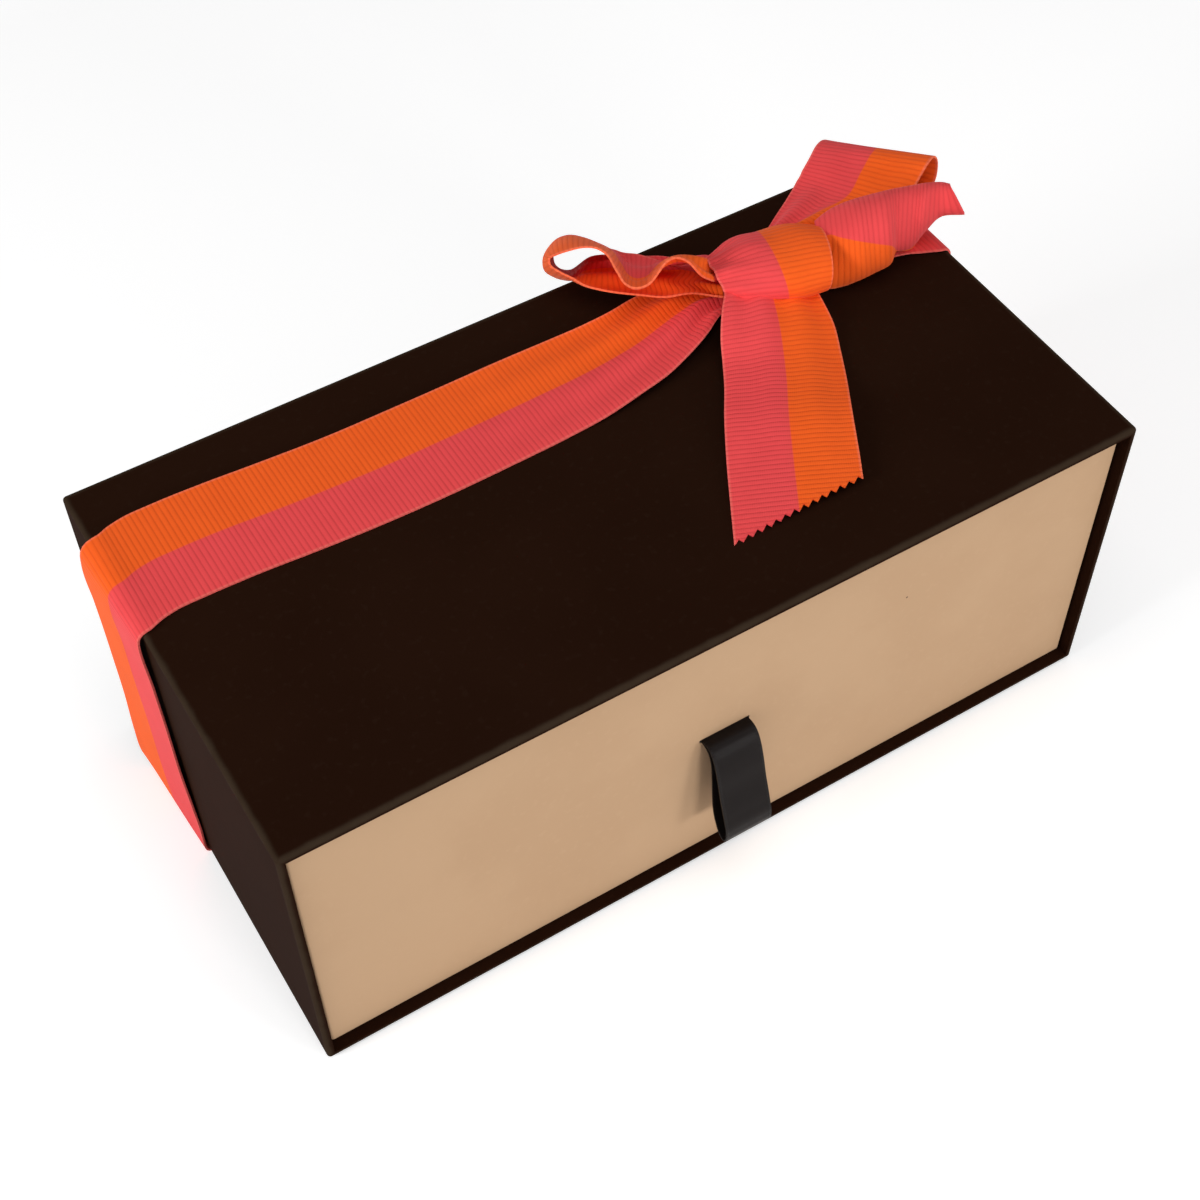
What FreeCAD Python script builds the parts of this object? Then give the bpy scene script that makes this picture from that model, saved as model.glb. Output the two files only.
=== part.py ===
import FreeCAD, Part
import math
import os
from collections import namedtuple

import Sketcher

# Drawer box for sunglasses: a dark paper-covered sleeve, a cream drawer with a satin pull tab,
# and a two-colour grosgrain ribbon tied round the sleeve in a bow.
# Millimetres. Origin at the centre of the sleeve's underside, +X along the box, +Y from the
# drawer front to the back wall, +Z up. Every board, sheet and stretch of ribbon is its own solid.

# Driving dimensions: alias, value, meaning.
SIZES = [
    ("box_length", 184.0, "outside of the sleeve along X"),
    ("box_depth", 93.7, "outside of the sleeve along Y"),
    ("box_height", 74.1, "outside of the sleeve along Z"),
    ("sleeve_board", 1.2, "greyboard of the sleeve"),
    ("drawer_board", 1.2, "greyboard of the drawer"),
    ("cover_paper", 0.15, "paper glued over the outside of the boards"),
    ("lining_paper", 0.15, "paper glued inside the boards"),
    ("turn_in", 15.0, "how far the cover paper is folded in over a rim"),
    ("sleeve_round", 0.8, "outer edge radius of the covered sleeve"),
    ("drawer_round", 0.6, "outer edge radius of the covered drawer"),
    ("front_recess", 2.2, "drawer front behind the sleeve's rim"),
    ("side_clearance", 0.5, "between the drawer and each side wall"),
    ("top_clearance", 0.6, "between the drawer and the lid"),
    ("floor_clearance", 0.2, "between the drawer and the sleeve's floor"),
    ("back_clearance", 0.8, "between the drawer and the back wall"),
    ("slot_height", 39.9, "middle of the tab slot above the underside"),
    ("slot_offset", -0.8, "middle of the tab slot along X"),
    ("slot_opening", 1.0, "height of the tab slot"),
    ("slot_side_room", 0.4, "slot past each edge of the tab ribbon"),
    ("tab_width", 10.7, "satin ribbon of the pull tab"),
    ("tab_thickness", 0.3, "one layer of the satin ribbon"),
    ("tab_proud", 0.1, "tails of the tab in front of the drawer's face"),
    ("tab_hinge", 0.5, "the tab's swing axis in front of the drawer's face"),
    ("tab_tail", 15.0, "glued tails of the tab below the slot"),
    ("patch_width", 22.0, "paper patch over the glued tails"),
    ("patch_margin", 1.5, "patch below the end of the tails"),
    ("ribbon_width", 25.4, "gift ribbon"),
    ("ribbon_thickness", 0.4, "gift ribbon"),
    ("band_from_back", 24.9, "middle of the ribbon from the sleeve's back, on the lid"),
    ("knot_from_right", 38.5, "middle of the knot from the sleeve's right end"),
    ("tail_reach", 51.9, "cut end of the front tail from the knot"),
    ("pink_pitch", 2.0, "teeth of the pinked cut"),
    ("pink_depth", 1.0, "teeth of the pinked cut"),
    ("knot_fit", 0.05, "between the knot and the ribbon that it holds"),
]

doc = FreeCAD.newDocument("sunglasses_box")
sheet = doc.addObject("Spreadsheet::Sheet", "sizes")
for row, (alias, value, meaning) in enumerate(SIZES, start=1):
    sheet.set(f"A{row}", meaning)
    sheet.set(f"B{row}", str(value))
    sheet.setAlias(f"B{row}", alias)
doc.recompute()


def size(alias):
    """A driving dimension as a number, for the shapes that are not bound by expressions."""
    return float(getattr(sheet, alias))


# Expressions that several pieces share.
WALL = "(sizes.cover_paper + sizes.sleeve_board + sizes.lining_paper)"
SKIN = "(sizes.cover_paper + sizes.sleeve_board)"
DRAWER_WALL = "(sizes.cover_paper + sizes.drawer_board + sizes.lining_paper)"
DRAWER_SKIN = "(sizes.cover_paper + sizes.drawer_board)"
DRAWER_LENGTH = f"(sizes.box_length - 2 * {WALL} - 2 * sizes.side_clearance)"
DRAWER_DEPTH = f"(sizes.box_depth - {WALL} - sizes.back_clearance - sizes.front_recess)"
DRAWER_FLOOR = f"({WALL} + sizes.floor_clearance)"
DRAWER_TOP = f"(sizes.box_height - {WALL} - sizes.top_clearance)"
DRAWER_HEIGHT = f"({DRAWER_TOP} - {DRAWER_FLOOR})"
DRAWER_FRONT = "(-sizes.box_depth / 2 + sizes.front_recess)"
DRAWER_MIDDLE = f"({DRAWER_FRONT} + {DRAWER_DEPTH} / 2)"

PARTS = []


def keep(thing, label):
    """Names a finished sub-part and puts it on the list of what is written."""
    thing.Label = label
    PARTS.append(thing)
    return thing


def bind(thing, **expressions):
    """Binds properties to the sheet; a double underscore stands for a dot."""
    for name, expression in expressions.items():
        thing.setExpression(name.replace("__", "."), expression)


def stand(thing, at, rotation=None):
    """Turns a piece, then binds its place to the sheet."""
    if rotation is not None:
        thing.Placement = FreeCAD.Placement(FreeCAD.Vector(), rotation)
    bind(thing, Placement__Base__x=at[0], Placement__Base__y=at[1], Placement__Base__z=at[2])


def origin_plane(body, role):
    """One of the body's own origin planes."""
    return next(f for f in body.Origin.OriginFeatures if f.Role == role)


def rectangle(body, name, wide, tall, across="0", up="0"):
    """A sketch on the body's XY plane: a rectangle whose centre is at (across, up)."""
    sketch = body.newObject("Sketcher::SketchObject", name)
    sketch.AttachmentSupport = [(origin_plane(body, "XY_Plane"), "")]
    sketch.MapMode = "FlatFace"
    corners = [(-5, -5), (5, -5), (5, 5), (-5, 5)]
    points = [FreeCAD.Vector(x, y, 0) for x, y in corners]
    for i in range(4):
        sketch.addGeometry(Part.LineSegment(points[i], points[(i + 1) % 4]), False)
    for i in range(4):
        sketch.addConstraint(Sketcher.Constraint("Coincident", i, 2, (i + 1) % 4, 1))
    for i, kind in enumerate(("Horizontal", "Vertical", "Horizontal", "Vertical")):
        sketch.addConstraint(Sketcher.Constraint(kind, i))
    middle = sketch.addGeometry(Part.Point(FreeCAD.Vector(0, 0, 0)), True)
    sketch.addConstraint(Sketcher.Constraint("Symmetric", 0, 1, 1, 2, middle, 1))
    sizes = (
        ("wide", Sketcher.Constraint("DistanceX", 0, 1, 0, 2, 10.0), wide),
        ("tall", Sketcher.Constraint("DistanceY", 1, 1, 1, 2, 10.0), tall),
        ("across", Sketcher.Constraint("DistanceX", -1, 1, middle, 1, 0.0), across),
        ("up", Sketcher.Constraint("DistanceY", -1, 1, middle, 1, 0.0), up),
    )
    for label, constraint, expression in sizes:
        index = sketch.addConstraint(constraint)
        sketch.renameConstraint(index, label)
        sketch.setExpression(f"Constraints.{label}", expression)
    return sketch


def padded(label, wide, tall, thick):
    """A body with one rectangular pad, centred on its own origin and standing on its XY plane."""
    body = doc.addObject("PartDesign::Body", label)
    sketch = rectangle(body, f"{label}_outline", wide, tall)
    pad = body.newObject("PartDesign::Pad", f"{label}_pad")
    pad.Profile = sketch
    bind(pad, Length=thick)
    doc.recompute()
    return body, pad


def rounded(body, base, radius, wanted):
    """Fillets the edges of a body's feature that the test picks by their middle point."""
    names = []
    box = base.Shape.BoundBox
    for number, edge in enumerate(base.Shape.Edges, start=1):
        middle = edge.valueAt((edge.FirstParameter + edge.LastParameter) / 2)
        if wanted(middle, box):
            names.append(f"Edge{number}")
    fillet = body.newObject("PartDesign::Fillet", f"{body.Name}_round")
    fillet.Base = (base, names)
    bind(fillet, Radius=radius)
    doc.recompute()
    return fillet


def near(a, b):
    """True where two coordinates are the same."""
    return abs(a - b) < 1e-6


# Which edges of a board lie on the outside of the box, with the board flat and its inner face down.
def outer_all(middle, box):
    """The outer face's edges and the four through the thickness."""
    return not near(middle.z, box.ZMin)


def outer_ends(middle, box):
    """The outer face's two short edges."""
    return near(middle.z, box.ZMax) and near(abs(middle.x), box.XMax)


def outer_left_end(middle, box):
    """The outer face's edge at the low end."""
    return near(middle.z, box.ZMax) and near(middle.x, box.XMin)


def outer_right_end(middle, box):
    """The outer face's edge at the high end."""
    return near(middle.z, box.ZMax) and near(middle.x, box.XMax)


def outer_above(middle, box):
    """The outer face's edges and the upper two through the thickness, all but the lower edge."""
    return not near(middle.z, box.ZMin) and not near(middle.y, box.YMin)


def outer_rim(middle, box):
    """The outer face's upper edge."""
    return near(middle.z, box.ZMax) and near(middle.y, box.YMax)


def every_edge(middle, box):
    """All twelve edges of a block."""
    return True


# How a flat board is stood up: its outer face looks the way that is named, its local Y is up.
LEFT, RIGHT = FreeCAD.Vector(-1, 0, 0), FreeCAD.Vector(1, 0, 0)
FRONT, BACK = FreeCAD.Vector(0, -1, 0), FreeCAD.Vector(0, 1, 0)
UP = FreeCAD.Vector(0, 0, 1)


def facing(outward):
    """The rotation that turns a flat board's outer face outward, with its local Y upright."""
    return FreeCAD.Rotation(UP.cross(outward), UP, outward, "ZYX")


LYING = FreeCAD.Rotation()
LYING_FACE_DOWN = FreeCAD.Rotation(FreeCAD.Vector(1, 0, 0), 180)


def board(label, wide, tall, thick, radius, edges, rotation, at):
    """A board: a rectangle padded by its thickness, rounded where it is an outer edge, stood up."""
    body, pad = padded(label, wide, tall, thick)
    rounded(body, pad, radius, edges)
    stand(body, at, rotation)
    return keep(body, label)


def block(label, wide, deep, tall, radius, at):
    """A rounded block that stands on the XY plane, with its place bound to the sheet."""
    body, pad = padded(label, wide, deep, tall)
    rounded(body, pad, radius, every_edge)
    stand(body, at)
    return body


def plain_box(name, low, lengths):
    """A plain box from its lowest corner and its three lengths."""
    box = doc.addObject("Part::Box", name)
    bind(box, Length=lengths[0], Width=lengths[1], Height=lengths[2])
    stand(box, low)
    return box


def cut(name, base, tool):
    """One document object less another."""
    result = doc.addObject("Part::Cut", name)
    result.Base = base
    result.Tool = tool
    return result


def fused(name, *shapes):
    """Document objects made one."""
    result = doc.addObject("Part::MultiFuse", name)
    result.Shapes = list(shapes)
    result.Refine = True
    return result


# The sleeve: five boards with butt joints. The lid and the floor are full size, the back board
# stands between them, and the end boards stand between all three.
BOARD_ROUND = "(sizes.sleeve_round - sizes.cover_paper)"
ACROSS_BOARDS = "(sizes.box_length - 2 * sizes.cover_paper)"
DEPTH_BOARDS = "(sizes.box_depth - 2 * sizes.cover_paper)"
BETWEEN_BOARDS = f"(sizes.box_height - 2 * {SKIN})"
MID_HEIGHT = "sizes.box_height / 2"
board("sleeve_top_board", ACROSS_BOARDS, DEPTH_BOARDS, "sizes.sleeve_board", BOARD_ROUND, outer_all,
      LYING, ("0", "0", f"sizes.box_height - {SKIN}"))
board("sleeve_bottom_board", ACROSS_BOARDS, DEPTH_BOARDS, "sizes.sleeve_board", BOARD_ROUND, outer_all,
      LYING_FACE_DOWN, ("0", "0", SKIN))
board("sleeve_back_board", ACROSS_BOARDS, BETWEEN_BOARDS, "sizes.sleeve_board", BOARD_ROUND, outer_ends,
      facing(BACK), ("0", f"sizes.box_depth / 2 - {SKIN}", MID_HEIGHT))
END_BOARD = f"({DEPTH_BOARDS} - sizes.sleeve_board)"
board("sleeve_left_board", END_BOARD, BETWEEN_BOARDS, "sizes.sleeve_board", BOARD_ROUND, outer_right_end,
      facing(LEFT), (f"-sizes.box_length / 2 + {SKIN}", "-sizes.sleeve_board / 2", MID_HEIGHT))
board("sleeve_right_board", END_BOARD, BETWEEN_BOARDS, "sizes.sleeve_board", BOARD_ROUND, outer_left_end,
      facing(RIGHT), (f"sizes.box_length / 2 - {SKIN}", "-sizes.sleeve_board / 2", MID_HEIGHT))

# The sleeve's papers: the dark cover folds in over the rim, the lining covers the rest inside.
covered = block("sleeve_outside", "sizes.box_length", "sizes.box_depth", "sizes.box_height",
                "sizes.sleeve_round", ("0", "0", "0"))
bare = block("sleeve_boards_outside", ACROSS_BOARDS, DEPTH_BOARDS,
             "sizes.box_height - 2 * sizes.cover_paper", BOARD_ROUND, ("0", "0", "sizes.cover_paper"))
room = plain_box(
    "sleeve_room",
    (f"-sizes.box_length / 2 + {WALL}", "-sizes.box_depth / 2 - sizes.turn_in", WALL),
    (f"sizes.box_length - 2 * {WALL}", f"sizes.box_depth + sizes.turn_in - {WALL}",
     f"sizes.box_height - 2 * {WALL}"),
)
inside_low_x = f"-sizes.box_length / 2 + {SKIN}"
inside_length = f"sizes.box_length - 2 * {SKIN}"
folded_in = plain_box(
    "sleeve_turn_in",
    (inside_low_x, "-sizes.box_depth / 2 + sizes.cover_paper", SKIN),
    (inside_length, "sizes.turn_in - sizes.cover_paper", BETWEEN_BOARDS),
)
lined = plain_box(
    "sleeve_lined",
    (inside_low_x, "-sizes.box_depth / 2 + sizes.turn_in", SKIN),
    (inside_length, f"sizes.box_depth - sizes.turn_in - {SKIN}", BETWEEN_BOARDS),
)
sheet_round = cut("sleeve_cover_shell", covered, bare)
keep(cut("sleeve_cover", fused("sleeve_cover_folded", sheet_round, folded_in), room), "sleeve_cover")
keep(cut("sleeve_inner_paper", lined, room), "sleeve_lining")

# The drawer: a tray of five boards. The floor is full size, the front and the back stand on it
# at full width, and the sides stand between them.
DRAWER_ROUND = "(sizes.drawer_round - sizes.cover_paper)"
TRAY_LENGTH = f"({DRAWER_LENGTH} - 2 * sizes.cover_paper)"
TRAY_DEPTH = f"({DRAWER_DEPTH} - 2 * sizes.cover_paper)"
WALL_HEIGHT = f"({DRAWER_HEIGHT} - {DRAWER_SKIN} - sizes.cover_paper)"
WALL_MIDDLE = f"({DRAWER_FLOOR} + {DRAWER_SKIN} + {WALL_HEIGHT} / 2)"
TRAY_SIDE = f"({TRAY_DEPTH} - 2 * sizes.drawer_board)"
board("drawer_floor_board", TRAY_LENGTH, TRAY_DEPTH, "sizes.drawer_board", DRAWER_ROUND, outer_all,
      LYING_FACE_DOWN, ("0", DRAWER_MIDDLE, f"{DRAWER_FLOOR} + {DRAWER_SKIN}"))
board("drawer_back_board", TRAY_LENGTH, WALL_HEIGHT, "sizes.drawer_board", DRAWER_ROUND, outer_above,
      facing(BACK), ("0", f"{DRAWER_FRONT} + {DRAWER_DEPTH} - {DRAWER_SKIN}", WALL_MIDDLE))
board("drawer_left_board", TRAY_SIDE, WALL_HEIGHT, "sizes.drawer_board", DRAWER_ROUND, outer_rim,
      facing(LEFT), (f"-{DRAWER_LENGTH} / 2 + {DRAWER_SKIN}", DRAWER_MIDDLE, WALL_MIDDLE))
board("drawer_right_board", TRAY_SIDE, WALL_HEIGHT, "sizes.drawer_board", DRAWER_ROUND, outer_rim,
      facing(RIGHT), (f"{DRAWER_LENGTH} / 2 - {DRAWER_SKIN}", DRAWER_MIDDLE, WALL_MIDDLE))

# The front board has the slot that the pull tab passes through.
SLOT_WIDTH = "(sizes.tab_width + 2 * sizes.slot_side_room)"
front, front_pad = padded("drawer_front_board", TRAY_LENGTH, WALL_HEIGHT, "sizes.drawer_board")
rounded(front, front_pad, DRAWER_ROUND, outer_above)
slot = rectangle(front, "tab_slot_outline", SLOT_WIDTH, "sizes.slot_opening",
                 "sizes.slot_offset", f"sizes.slot_height - {WALL_MIDDLE}")
pocket = front.newObject("PartDesign::Pocket", "tab_slot")
pocket.Profile = slot
pocket.Type = 1
pocket.Reversed = True
doc.recompute()
stand(front, ("0", f"{DRAWER_FRONT} + {DRAWER_SKIN}", WALL_MIDDLE), facing(FRONT))
keep(front, "drawer_front_board")

# The drawer's papers: the cream cover turns over the rim, the lining covers the rest inside.
tray_outside = block("drawer_outside", DRAWER_LENGTH, DRAWER_DEPTH, DRAWER_HEIGHT,
                     "sizes.drawer_round", ("0", DRAWER_MIDDLE, DRAWER_FLOOR))
tray_boards = block("drawer_boards_outside", TRAY_LENGTH, TRAY_DEPTH,
                    f"{DRAWER_HEIGHT} - 2 * sizes.cover_paper", DRAWER_ROUND,
                    ("0", DRAWER_MIDDLE, f"{DRAWER_FLOOR} + sizes.cover_paper"))
tray_room = plain_box(
    "drawer_room",
    (f"-{DRAWER_LENGTH} / 2 + {DRAWER_WALL}", f"{DRAWER_FRONT} + {DRAWER_WALL}",
     f"{DRAWER_FLOOR} + {DRAWER_WALL}"),
    (f"{DRAWER_LENGTH} - 2 * {DRAWER_WALL}", f"{DRAWER_DEPTH} - 2 * {DRAWER_WALL}",
     f"{DRAWER_HEIGHT}"),
)
tray_low = (f"-{DRAWER_LENGTH} / 2 + {DRAWER_SKIN}", f"{DRAWER_FRONT} + {DRAWER_SKIN}")
tray_inside = (f"{DRAWER_LENGTH} - 2 * {DRAWER_SKIN}", f"{DRAWER_DEPTH} - 2 * {DRAWER_SKIN}")
tray_folded = plain_box(
    "drawer_turn_in",
    (tray_low[0], tray_low[1], f"{DRAWER_TOP} - sizes.turn_in"),
    (tray_inside[0], tray_inside[1], "sizes.turn_in - sizes.cover_paper"),
)
tray_lined = plain_box(
    "drawer_lined",
    (tray_low[0], tray_low[1], f"{DRAWER_FLOOR} + {DRAWER_SKIN}"),
    (tray_inside[0], tray_inside[1], f"{DRAWER_HEIGHT} - {DRAWER_SKIN} - sizes.turn_in"),
)
slot_cutter = plain_box(
    "slot_through_papers",
    (f"sizes.slot_offset - {SLOT_WIDTH} / 2", f"{DRAWER_FRONT} - {DRAWER_WALL}",
     "sizes.slot_height - sizes.slot_opening / 2"),
    (SLOT_WIDTH, f"3 * {DRAWER_WALL}", "sizes.slot_opening"),
)
tray_shell = cut("drawer_cover_shell", tray_outside, tray_boards)
tray_open = cut("drawer_cover_open", fused("drawer_cover_folded", tray_shell, tray_folded), tray_room)
keep(cut("drawer_cover_slotted", tray_open, slot_cutter), "drawer_cover")
keep(cut("drawer_lining_slotted", cut("drawer_inner_paper", tray_lined, tray_room), slot_cutter),
     "drawer_lining")

# The pull tab's two tails pass through the slot, turn down inside and are glued under a patch.
TAILS = "(2 * sizes.tab_thickness)"
TAB_LOW_X = "sizes.slot_offset - sizes.tab_width / 2"
INNER_FACE = f"{DRAWER_FRONT} + {DRAWER_WALL}"
through = plain_box(
    "tails_through_slot",
    (TAB_LOW_X, f"{DRAWER_FRONT} - sizes.tab_proud", "sizes.slot_height - sizes.tab_thickness"),
    ("sizes.tab_width", f"sizes.tab_proud + {DRAWER_WALL} + {TAILS}", TAILS),
)
glued = plain_box(
    "tails_glued_down",
    (TAB_LOW_X, INNER_FACE, "sizes.slot_height + sizes.tab_thickness - sizes.tab_tail"),
    ("sizes.tab_width", TAILS, "sizes.tab_tail"),
)
keep(fused("tab_tails_bent", through, glued), "tab_tails")
patch = plain_box(
    "patch_outside",
    ("sizes.slot_offset - sizes.patch_width / 2", INNER_FACE,
     "sizes.slot_height + sizes.tab_thickness - sizes.tab_tail - sizes.patch_margin"),
    ("sizes.patch_width", f"{TAILS} + sizes.cover_paper", "sizes.tab_tail - sizes.patch_margin"),
)
keep(cut("patch_over_tails", patch, glued), "tab_patch")

# Ribbon. A strip is a row of thin sections: the middle of each lies on the line where the
# ribbon's two colours meet, and its across direction runs from one edge to the other.
Section = namedtuple("Section", "middle across width curl")
RIBBON = size("ribbon_width")
RIBBON_THICK = size("ribbon_thickness")
LID = size("box_height")
KNOT = FreeCAD.Vector(
    size("box_length") / 2 - size("knot_from_right"), size("box_depth") / 2 - size("band_from_back"), LID
)


def heading(turn, dip=0.0):
    """A unit vector from its plan angle and its rise, in degrees."""
    flat = math.cos(math.radians(dip))
    return FreeCAD.Vector(
        flat * math.cos(math.radians(turn)), flat * math.sin(math.radians(turn)), math.sin(math.radians(dip))
    )


def beside_knot(rows):
    """Sections from rows of along, across and lift from the knot's foot, turn, dip, curl, gather."""
    return [
        Section(KNOT + FreeCAD.Vector(x, y, lift), heading(turn, dip), RIBBON * gather, curl)
        for x, y, lift, turn, dip, curl, gather in rows
    ]


def travel(sections, i):
    """The way the strip runs at one section, square to its across direction."""
    ahead = sections[min(i + 1, len(sections) - 1)].middle
    behind = sections[max(i - 1, 0)].middle
    run = ahead - behind
    across = sections[i].across
    run = run - across * run.dot(across)
    return run.normalize()


def refined(sections, step):
    """The same strip with more sections, on a smooth curve through the given ones."""
    gaps = [(b.middle - a.middle).Length for a, b in zip(sections, sections[1:])]
    slopes = [[(high - low) * (1 / gap) for low, high in zip(*pair)]
              for pair, gap in zip(zip(sections, sections[1:]), gaps)]
    bends = [slopes[0]]
    for i in range(1, len(gaps)):
        share = gaps[i] / (gaps[i - 1] + gaps[i])
        bends.append([before * share + after * (1 - share) for before, after in zip(slopes[i - 1], slopes[i])])
    bends.append(slopes[-1])
    finer = []
    for i, gap in enumerate(gaps):
        count = max(1, round(gap / step))
        for t in (k / count for k in range(count)):
            weights = (2 * t**3 - 3 * t**2 + 1, 3 * t**2 - 2 * t**3,
                       gap * (t**3 - 2 * t**2 + t), gap * (t**3 - t**2))
            values = [sum_of(weights, four) for four in zip(sections[i], sections[i + 1], bends[i], bends[i + 1])]
            finer.append(Section(values[0], values[1].normalize(), values[2], values[3]))
    return finer + sections[-1:]


def sum_of(weights, four):
    """Four numbers or vectors, each times its weight, added up."""
    first, second, third, fourth = (value * weight for value, weight in zip(four, weights))
    return first + second + third + fourth


def ring(sections, i, thick, columns):
    """One section's points: along its lower skin, then back along its upper skin."""
    section = sections[i]
    normal = travel(sections, i).cross(section.across)
    shares = [k / columns - 0.5 for k in range(columns + 1)]

    def at(share, rise):
        if abs(section.curl) < 0.01:
            return section.middle + section.across * section.width * share + normal * rise
        angle = math.radians(section.curl)
        radius = section.width / angle
        aside = section.across * math.sin(angle * share) - normal * math.cos(angle * share)
        return section.middle + normal * radius + aside * (radius - rise)

    return [at(share, -thick / 2) for share in shares] + [at(share, thick / 2) for share in reversed(shares)]


def facets(a, b, c, d, crease):
    """The face between four points in a ring, or the two that meet in a crease from a to c or b to d."""
    if abs((b - a).cross(c - a).dot(d - a)) < 1e-7:
        outlines = [(a, b, c, d)]
    elif crease:
        outlines = [(a, b, c), (a, c, d)]
    else:
        outlines = [(a, b, d), (b, c, d)]
    return [Part.Face(Part.makePolygon(list(outline) + [outline[0]])) for outline in outlines]


def strip(sections, thick, columns=1):
    """A ribbon: two skins of flat facets through the sections, closed along the edges and the ends."""
    rings = [ring(sections, i, thick, columns) for i in range(len(sections))]
    faces = [Part.Face(Part.makePolygon(end + end[:1])) for end in (rings[0], rings[-1])]
    for low, high in zip(rings, rings[1:]):
        for k in range(columns):
            crease = (low[k] - high[k + 1]).Length < (low[k + 1] - high[k]).Length
            for near_edge, far_edge in ((k, k + 1), (-1 - k, -2 - k)):
                faces += facets(low[near_edge], low[far_edge], high[far_edge], high[near_edge], crease)
        for skin, other in ((columns, columns + 1), (-1, 0)):
            faces += facets(low[skin], low[other], high[other], high[skin], True)
    shell = Part.makeShell(faces)
    shell.sewShape()
    solid = Part.makeSolid(shell)
    return solid if solid.Volume > 0 else solid.reversed()


def freeform(label, shape, at=None):
    """A sub-part whose shape comes from the strips above."""
    feature = doc.addObject("Part::Feature", label)
    feature.Shape = shape
    feature.Placement = FreeCAD.Placement(at or FreeCAD.Vector(), FreeCAD.Rotation())
    return keep(feature, label)


# The knot: the strap wound round the bow's middle, an oval that is fuller towards the right.
# Along the strap's width, the oval's breadth and depth, and how high and how far aside it sits.
KNOT_TURN = -18.5
KNOT_OVALS = [
    (-12.2, 9.5, 7.5, 5.4, 0.3),
    (-8.0, 15.0, 9.6, 6.5, 0.6),
    (0.0, 18.0, 10.4, 6.8, 0.8),
    (7.0, 17.6, 10.4, 6.9, 0.8),
    (12.2, 15.0, 9.0, 6.6, 0.6),
]
along_knot = heading(KNOT_TURN)
across_knot = heading(KNOT_TURN + 90)
KNOT_SIDES = 20


def oval(along, breadth, depth, lift, aside, room=0.0):
    """One section of the knot, or of the knot with some room round it."""
    middle = KNOT + along_knot * (along * (1 + room / 10)) + across_knot * aside + UP * lift
    turns = [math.radians(360 / KNOT_SIDES * i) for i in range(KNOT_SIDES + 1)]
    return Part.makePolygon([
        middle + across_knot * (breadth / 2 + room) * math.cos(turn) + UP * (depth / 2 + room) * math.sin(turn)
        for turn in turns
    ])


knot_solid = Part.makeLoft([oval(*row) for row in KNOT_OVALS], True, True)
knot_with_room = Part.makeLoft([oval(*row, size("knot_fit")) for row in KNOT_OVALS], True, True)
freeform("bow_knot", knot_solid)

# The bow. Each row: along, across and lift from the foot of the knot, then the turn and the dip
# of the across direction, the curl over the whole width, and the share that is not gathered.
LEFT_LOOP = [
    (-9.5, 4.0, 6.0, 69, -6, 0, 0.34),
    (-12.8, 6.5, 6.2, 60, -26, 0, 0.55),
    (-16.2, 8.7, 9.3, 55, -38, 0, 0.62),
    (-19.6, 11.3, 9.3, 56, -35, 0, 0.8),
    (-21.7, 13.0, 6.9, 57, -24, 0, 0.88),
    (-23.8, 15.9, 5.6, 57, -17, 0, 0.88),
    (-25.1, 20.6, 5.1, 57, -25, 0, 0.98),
    (-26.7, 23.8, 4.9, 58, -36, 0, 1.0),
    (-28.5, 27.4, 5.7, 59, -39, 0, 1.0),
    (-31.5, 30.2, 5.2, 61, -38, 0, 1.0),
    (-34.7, 32.0, 3.8, 63, -38, 0, 1.0),
    (-36.6, 31.5, 1.0, 64, -39, 0, 1.0),
    (-34.7, 29.7, -0.9, 61, -38, 0, 1.0),
    (-32.3, 27.8, -1.2, 60, -36, 0, 1.0),
    (-28.7, 24.2, 1.6, 60, -31, 0, 1.0),
    (-25.4, 20.2, 2.6, 61, -22, 0, 1.0),
    (-20.4, 19.1, 2.4, 62, -13, 0, 1.0),
    (-16.8, 16.8, 2.2, 62, -9, 0, 0.85),
    (-12.3, 9.5, 2.7, 58, -12, 0, 0.6),
    (-9.0, 3.8, 3.1, 60, -12, 0, 0.34),
]
BACK_LOOP = [
    (8.0, 7.2, 7.2, -50, 8, 0, 0.34),
    (16.4, 7.8, 7.6, -66, 10, 0, 0.68),
    (24.3, 8.4, 8.3, -69, 10, 0, 1.0),
    (29.4, 11.3, 10.6, -60, 8, 0, 1.0),
    (33.5, 13.2, 12.0, -59, 11, 0, 1.0),
    (35.8, 14.4, 11.6, -58, 11, 0, 1.0),
    (37.6, 15.0, 9.8, -60, 9, 0, 1.0),
    (38.0, 14.7, 6.4, -66, 7, 0, 1.0),
    (31.0, 13.4, 4.2, -68, 6, 0, 1.0),
    (20.1, 10.2, 3.4, -68, 3, 0, 0.7),
    (8.0, 6.6, 3.2, -55, -3, 0, 0.34),
]
RIGHT_TAIL = [
    (10.0, -1.4, 6.6, 50, -60, 40, 0.5),
    (14.4, -2.8, 7.7, 34, -65, 70, 0.6),
    (16.3, -4.9, 8.7, 17, -69, 100, 0.85),
    (18.9, -7.6, 9.8, 22, -65, 88, 1.0),
    (22.1, -10.5, 10.7, 14, -68, 94, 1.0),
    (26.7, -11.3, 11.0, 50, -67, 108, 1.0),
    (31.6, -10.2, 11.1, 76, -57, 120, 1.0),
    (36.0, -8.9, 11.3, 66, -40, 122, 1.0),
    (38.5, -9.8, 10.8, 49, -30, 112, 1.0),
]
FRONT_TAIL = [
    (-2.6, -2.0, 5.0, -14, -10, -20, 0.7),
    (-4.9, -7.2, 5.9, -12, -14, -30, 0.85),
    (-8.6, -15.9, 6.4, -16, -16, -40, 1.0),
    (-12.4, -22.4, 4.5, -23, -8, -36, 1.0),
    (-17.8, -31.2, 2.7, -26, -4, -22, 1.0),
    (-24.0, -42.0, 1.5, -27, -2, -10, 1.0),
    (-33.0, -58.0, 0.8, -27, 0, -4, 1.0),
]


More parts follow.
